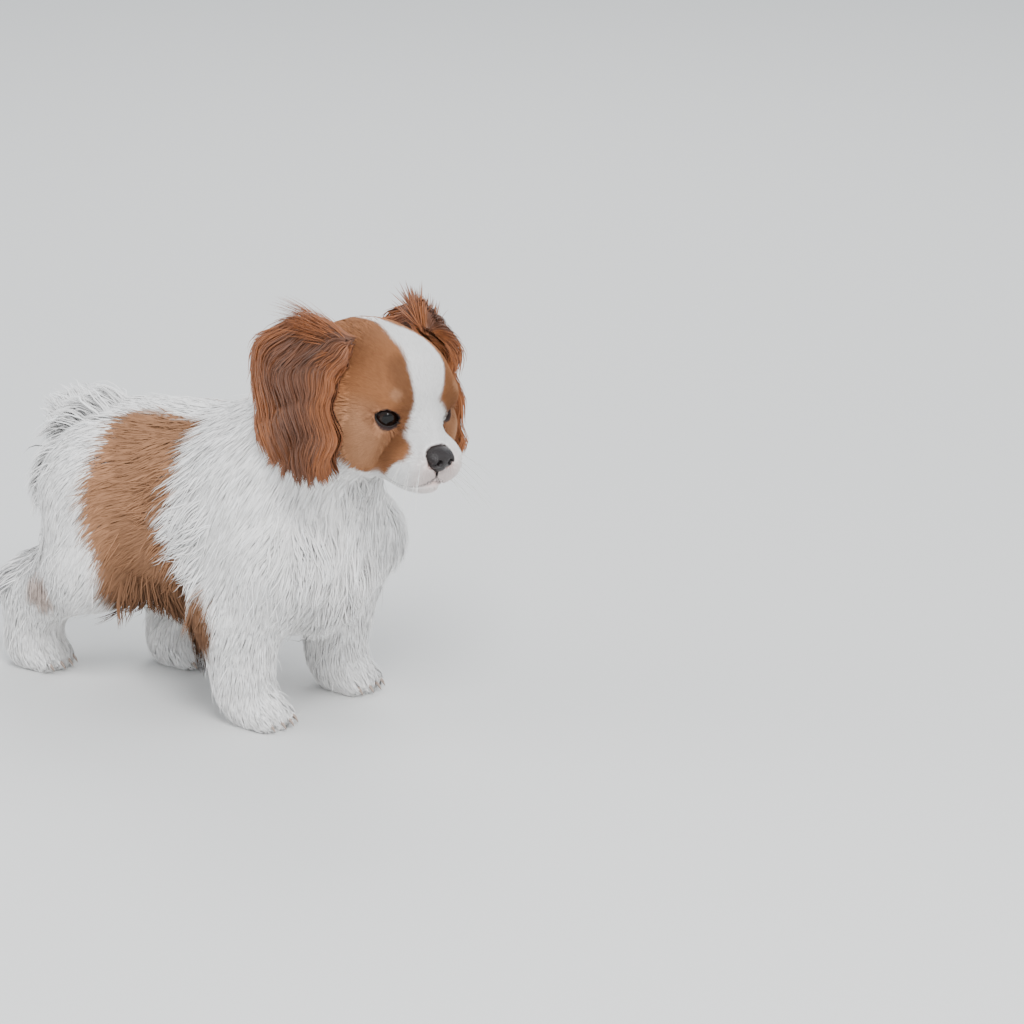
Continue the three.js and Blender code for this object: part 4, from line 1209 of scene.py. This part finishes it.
def ear_cover(side, word, count=420, rings=6):
    """Hair of the head that falls over the front edge of the ear near its root."""
    v = rng.uniform(-0.1, 0.5, count)
    u = rng.uniform(0.86, 1.0, count)
    normal = ear_normal(side, u, v)
    place = ear_point(side, u, v)
    down = unit(ear_point(side, u - 0.05, v + 0.12) - place)
    heading = unit(down + rng.normal(0, 0.1, (count, 3)))
    length = rng.uniform(11, 21, count)
    paths, t = fanned(place - normal * 1.5, heading, length, rings)
    arch = np.sin(math.pi * t * 0.8) * rng.uniform(1.5, 4, (count, 1, 1))
    paths = paths + normal[:, None] * arch
    sides = np.cross(heading, normal)[:, None]
    width = rng.uniform(0.6, 1.0, count)
    colours = varied(np.tile(EAR_RED, (count, 1)), 0.14)
    add_ear_strands(f"ear_cover_{word}", paths, sides, width, colours, u * UNWRAP, v, normal * 0.5)


# Eyes and lids
def make_eyeball(word, side):
    bpy.ops.mesh.primitive_uv_sphere_add(
        segments=48, ring_count=32, radius=EYE_RADIUS * MM, calc_uvs=False)
    eye = bpy.context.object
    eye.name = f"eyeball_{word}"
    eye.data.transform(Matrix.Translation(Vector(to_frame(eye_frame(side)[0]))))
    eye.data.shade_smooth()
    eye.data.materials.append(eye_material(word, side))
    belong(eye, "eye", f"eye_{word}")


# Rings of the eye from the middle of the pupil, as distance in centimetres and colour
CENTIMETRES = 100
EYE_RINGS = [
    (0.0, (0.002, 0.002, 0.002)),
    (0.30, (0.002, 0.002, 0.002)),
    (0.36, (0.016, 0.007, 0.004)),
    (0.56, (0.009, 0.004, 0.003)),
    (0.62, (0.006, 0.003, 0.003)),
    (0.8, (0.16, 0.13, 0.12)),
]


def eye_material(word, side):
    """Dark brown iris round a black pupil, worked out from the gaze, under a clear gloss."""
    made = material(f"eye_{word}", (0.02, 0.01, 0.006), roughness=0.12, specular=0.12, coat_weight=0.35)
    nodes, links = made.node_tree.nodes, made.node_tree.links
    centre, _, _, gaze = eye_frame(side)
    place = nodes.new("ShaderNodeTexCoord")
    reach = nodes.new("ShaderNodeVectorMath")
    reach.operation = "DISTANCE"
    reach.inputs[1].default_value = tuple(to_frame(centre + gaze * EYE_RADIUS))
    links.new(place.outputs["Object"], reach.inputs[0])
    scaled = nodes.new("ShaderNodeMath")
    scaled.operation = "MULTIPLY"
    scaled.inputs[1].default_value = CENTIMETRES
    links.new(reach.outputs["Value"], scaled.inputs[0])
    ramp = nodes.new("ShaderNodeValToRGB")
    links.new(scaled.outputs[0], ramp.inputs["Fac"])
    rings = ramp.color_ramp.elements
    rings[1].position = EYE_RINGS[-1][0]
    for position, _ in EYE_RINGS[1:-1]:
        rings.new(position)
    for ring, (_, colour) in zip(rings, EYE_RINGS):
        ring.color = (*colour, 1)
    links.new(ramp.outputs["Color"], nodes["Principled BSDF"].inputs["Base Color"])
    return made


def make_lid_rim(word, side, steps=56, sides=8):
    """A dark rim round the almond opening, just outside the eyeball."""
    centre, across, up, gaze = eye_frame(side)
    angle = np.linspace(0, 2 * math.pi, steps, endpoint=False)
    x = np.cos(angle)
    height = np.where(np.sin(angle) > 0, UPPER_LID, LOWER_LID)
    z = np.sign(np.sin(angle)) * height * np.maximum(1 - x * x, 0) ** LID_CURVE
    x = x * LID_HALF_WIDTH
    out = np.sqrt(np.maximum((EYE_RADIUS + 0.35) ** 2 - x ** 2 - z ** 2, RIM_DEPTH ** 2))
    spine = centre + np.outer(x, across) + np.outer(z, up) + np.outer(out, gaze)
    radial = unit(spine - centre)
    aside = np.cross(unit(np.roll(spine, -1, 0) - np.roll(spine, 1, 0)), radial)
    turn = np.linspace(0, 2 * math.pi, sides, endpoint=False)[:, None, None]
    points = spine + radial * np.cos(turn) * 0.75 + aside * np.sin(turn) * 0.95
    index = np.arange(sides * steps).reshape(sides, steps)
    beside, ahead = np.roll(index, -1, 0), np.roll(index, -1, 1)
    faces = np.stack([index, beside, np.roll(beside, -1, 1), ahead], -1).reshape(-1, 4)
    belong(mesh_object(f"lid_rim_{word}", points.reshape(-1, 3), faces, LID), "nose_leather")


# Nose leather
def nose_field(points):
    """Distance to the nose leather: a pad with wings, nostrils, side slits and a middle crease."""
    p = to_head(points) - NOSE_AT
    q = folded(p)

    def lump(places, at, size):
        return ball_distance(places, {"at": np.array(at), "size": np.array(size)})

    pad = lump(p, (0.3, 0, -1.2), (8.2, 8.4, 5.6))
    field = blended(pad, lump(p, (1.8, 0, -5.4), (5.4, 4.2, 4.4)), 3.0)
    field = blended(field, lump(q, (2.2, 5.1, -2.2), (6.0, 3.8, 4.2)), 2.2)
    hole = lump(q, (7.6, 3.9, -2.2), (3.2, 1.9, 1.6))
    slit = line_distance(q, [(7.2, 4.8, -2.8), (6.0, 7.2, -4.0), (3.6, 8.9, -4.2)]) - 0.75
    crease = line_distance(q, [(9.4, 0, 0.4), (9.4, 0, -4.0), (7.6, 0, -9.5)]) - 0.5
    cut = np.minimum(np.minimum(hole, slit), crease)
    edge = np.maximum(1.0 - np.abs(field + cut), 0)
    return np.maximum(field, -cut) + edge * edge * 0.25


def make_nose():
    centre = from_head(NOSE_AT)
    lines = [np.arange(centre[i] - 13, centre[i] + 13, 0.55) for i in range(3)]
    points, quads = surface_nets(field_on_grid(nose_field, lines), lines)
    belong(mesh_object("nose_pad", points, quads, NOSE), "nose_leather", "nose")


# Mouth line, whiskers and claws
def add_lines(name, paths, sides, width, flatness, finish, slot):
    """A piece of tapering lines that share one run of widths."""
    widths = np.tile(width, (len(paths), 1))
    points, faces, _ = strands(np.array(paths), np.array(sides), widths, flatness)
    belong(mesh_object(name, points, faces, finish), slot)


def make_mouth(rings=24):
    """The dark line where the lips meet, from under the nose to the corners of the mouth."""
    knots = np.array([(61, 0, -23)] + MOUTH_LINE, float)
    t = np.linspace(0, len(knots) - 1.6, rings)
    paths, sides = [], []
    for side in (-1, 1):
        line = np.stack([np.interp(t, range(len(knots)), knots[:, i]) for i in range(3)], 1)
        path = on_coat(from_head(line * [1, side, 1]), -0.4)
        paths.append(path)
        sides.append(unit(np.cross(np.gradient(path, axis=0), coat_normal(path))))
    width = read_off(np.linspace(0, 1, rings), [(0, 0.9), (0.15, 1.5), (0.7, 1.2), (1, 0.3)])
    add_lines("mouth_line", paths, sides, width, 0.9, LID, "nose_leather")


def make_whiskers(count=12, rings=9):
    paths, sides = [], []
    t = np.linspace(0, 1, rings)[:, None]
    for side in (-1, 1):
        for n in range(count):
            row, step = divmod(n, 3)
            spot = np.array([[53 - 2.5 * step, side * (12 + 1.2 * step), -20 - 2.6 * row]])
            root = on_coat(from_head(spot), -1.5)[0]
            forward = 0.75 - 0.2 * step + rng.normal(0, 0.1)
            outward = side * (0.7 + rng.normal(0, 0.1))
            heading = unit(HEAD_TURN @ np.array([forward, outward, -0.45 + rng.normal(0, 0.15)]))
            length = rng.uniform(17, 29)
            path = root + heading * t * length
            path[:, 2] -= (t[:, 0] ** 2) * length * rng.uniform(0.1, 0.35)
            paths.append(path)
            sides.append([np.cross(heading, [0, 0, 1.0])])
    add_lines("whiskers", paths, sides, np.linspace(0.34, 0.1, rings), 0.8, WHISKER, "coat_white")


def make_claws(rings=6):
    paths = []
    t = np.linspace(0, 1, rings)[:, None]
    for name, (x, y) in FEET.items():
        front = toe_front(x, FORE_PAW if name.startswith("fore") else HIND_PAW) + 6.6
        for toe in TOES:
            start = np.array([front - abs(toe) * TOE_STEP, y + toe * TOE_WIDTH, 5.2])
            path = start + np.array([4.2, 0, 0]) * t
            path[:, 2] -= 3.6 * t[:, 0] ** 1.7
            paths.append(path)
    sides = np.tile([[0, 1.0, 0]], (len(paths), 1, 1))
    width = read_off(t[:, 0], [(0, 1.9), (0.5, 1.5), (1, 0.35)])
    add_lines("claws", paths, sides, width, 0.9, CLAW, "nose_leather")


# Floor, light and camera
def make_stage():
    bpy.ops.mesh.primitive_plane_add(size=8)
    floor = bpy.context.object
    floor.name = "floor"
    floor.data.materials.append(material("floor", (0.72, 0.72, 0.71), roughness=0.85, specular=0.1))
    world = bpy.data.worlds.new("studio")
    bpy.context.scene.world = world
    world.use_nodes = True
    world.node_tree.nodes["Background"].inputs["Color"].default_value = (0.9, 0.95, 1.0, 1)
    world.node_tree.nodes["Background"].inputs["Strength"].default_value = 1.0
    lamps = [
        ("key", (0.9, -0.9, 1.5), 32, 0.7),
        ("fill", (-1.3, -1.1, 0.9), 12, 1.2),
        ("back", (-0.6, 1.3, 1.4), 15, 0.9),
        ("catch", (1.3, -0.85, 0.5), 2.5, 0.2),
        ("side", (1.5, 0.5, 0.8), 7, 1.2),
    ]
    for name, place, power, size in lamps:
        data = bpy.data.lights.new(name, "AREA")
        data.energy = power
        data.size = size
        lamp = linked(name, data)
        lamp.location = place
        lamp.rotation_euler = (Vector((0, 0, 0.12)) - Vector(place)).to_track_quat("-Z", "Y").to_euler()


def make_camera():
    a, e = math.radians(CAMERA_AZIMUTH), math.radians(CAMERA_ELEVATION)
    right = np.array([math.cos(a), math.sin(a), 0])
    up = np.array([-math.sin(a) * math.sin(e), math.cos(a) * math.sin(e), math.cos(e)])
    back = np.cross(right, up)
    half = IMAGE_SIZE / 2
    across, down = ((half - pixel) / PIXELS_PER_MM for pixel in SOLE_PIXEL)
    aim = SOLE_AT + right * across - up * down
    data = bpy.data.cameras.new("camera")
    data.sensor_width = 36
    data.lens = PIXELS_PER_MM * CAMERA_DISTANCE * data.sensor_width / IMAGE_SIZE
    data.clip_end = 50
    camera = linked("camera", data)
    turn = Matrix([[*row] for row in np.stack([right, up, back], 1)]).to_4x4()
    camera.matrix_world = Matrix.Translation(Vector(to_frame(aim + back * CAMERA_DISTANCE))) @ turn
    bpy.context.scene.camera = camera


skin_points, skin_quads, skin_uvs = make_skin()
grow_coat(skin_points, skin_quads, skin_uvs)
for ear_word, ear_side in SIDES:
    ear_leather(ear_side, ear_word)
    ear_hair(ear_side, ear_word)
    ear_tufts(ear_side, ear_word)
    ear_cover(ear_side, ear_word)
for eye_word, eye_side in SIDES:
    make_eyeball(eye_word, eye_side)
    make_lid_rim(eye_word, eye_side)
make_nose()
make_mouth()
make_whiskers()
make_claws()
make_stage()
make_camera()
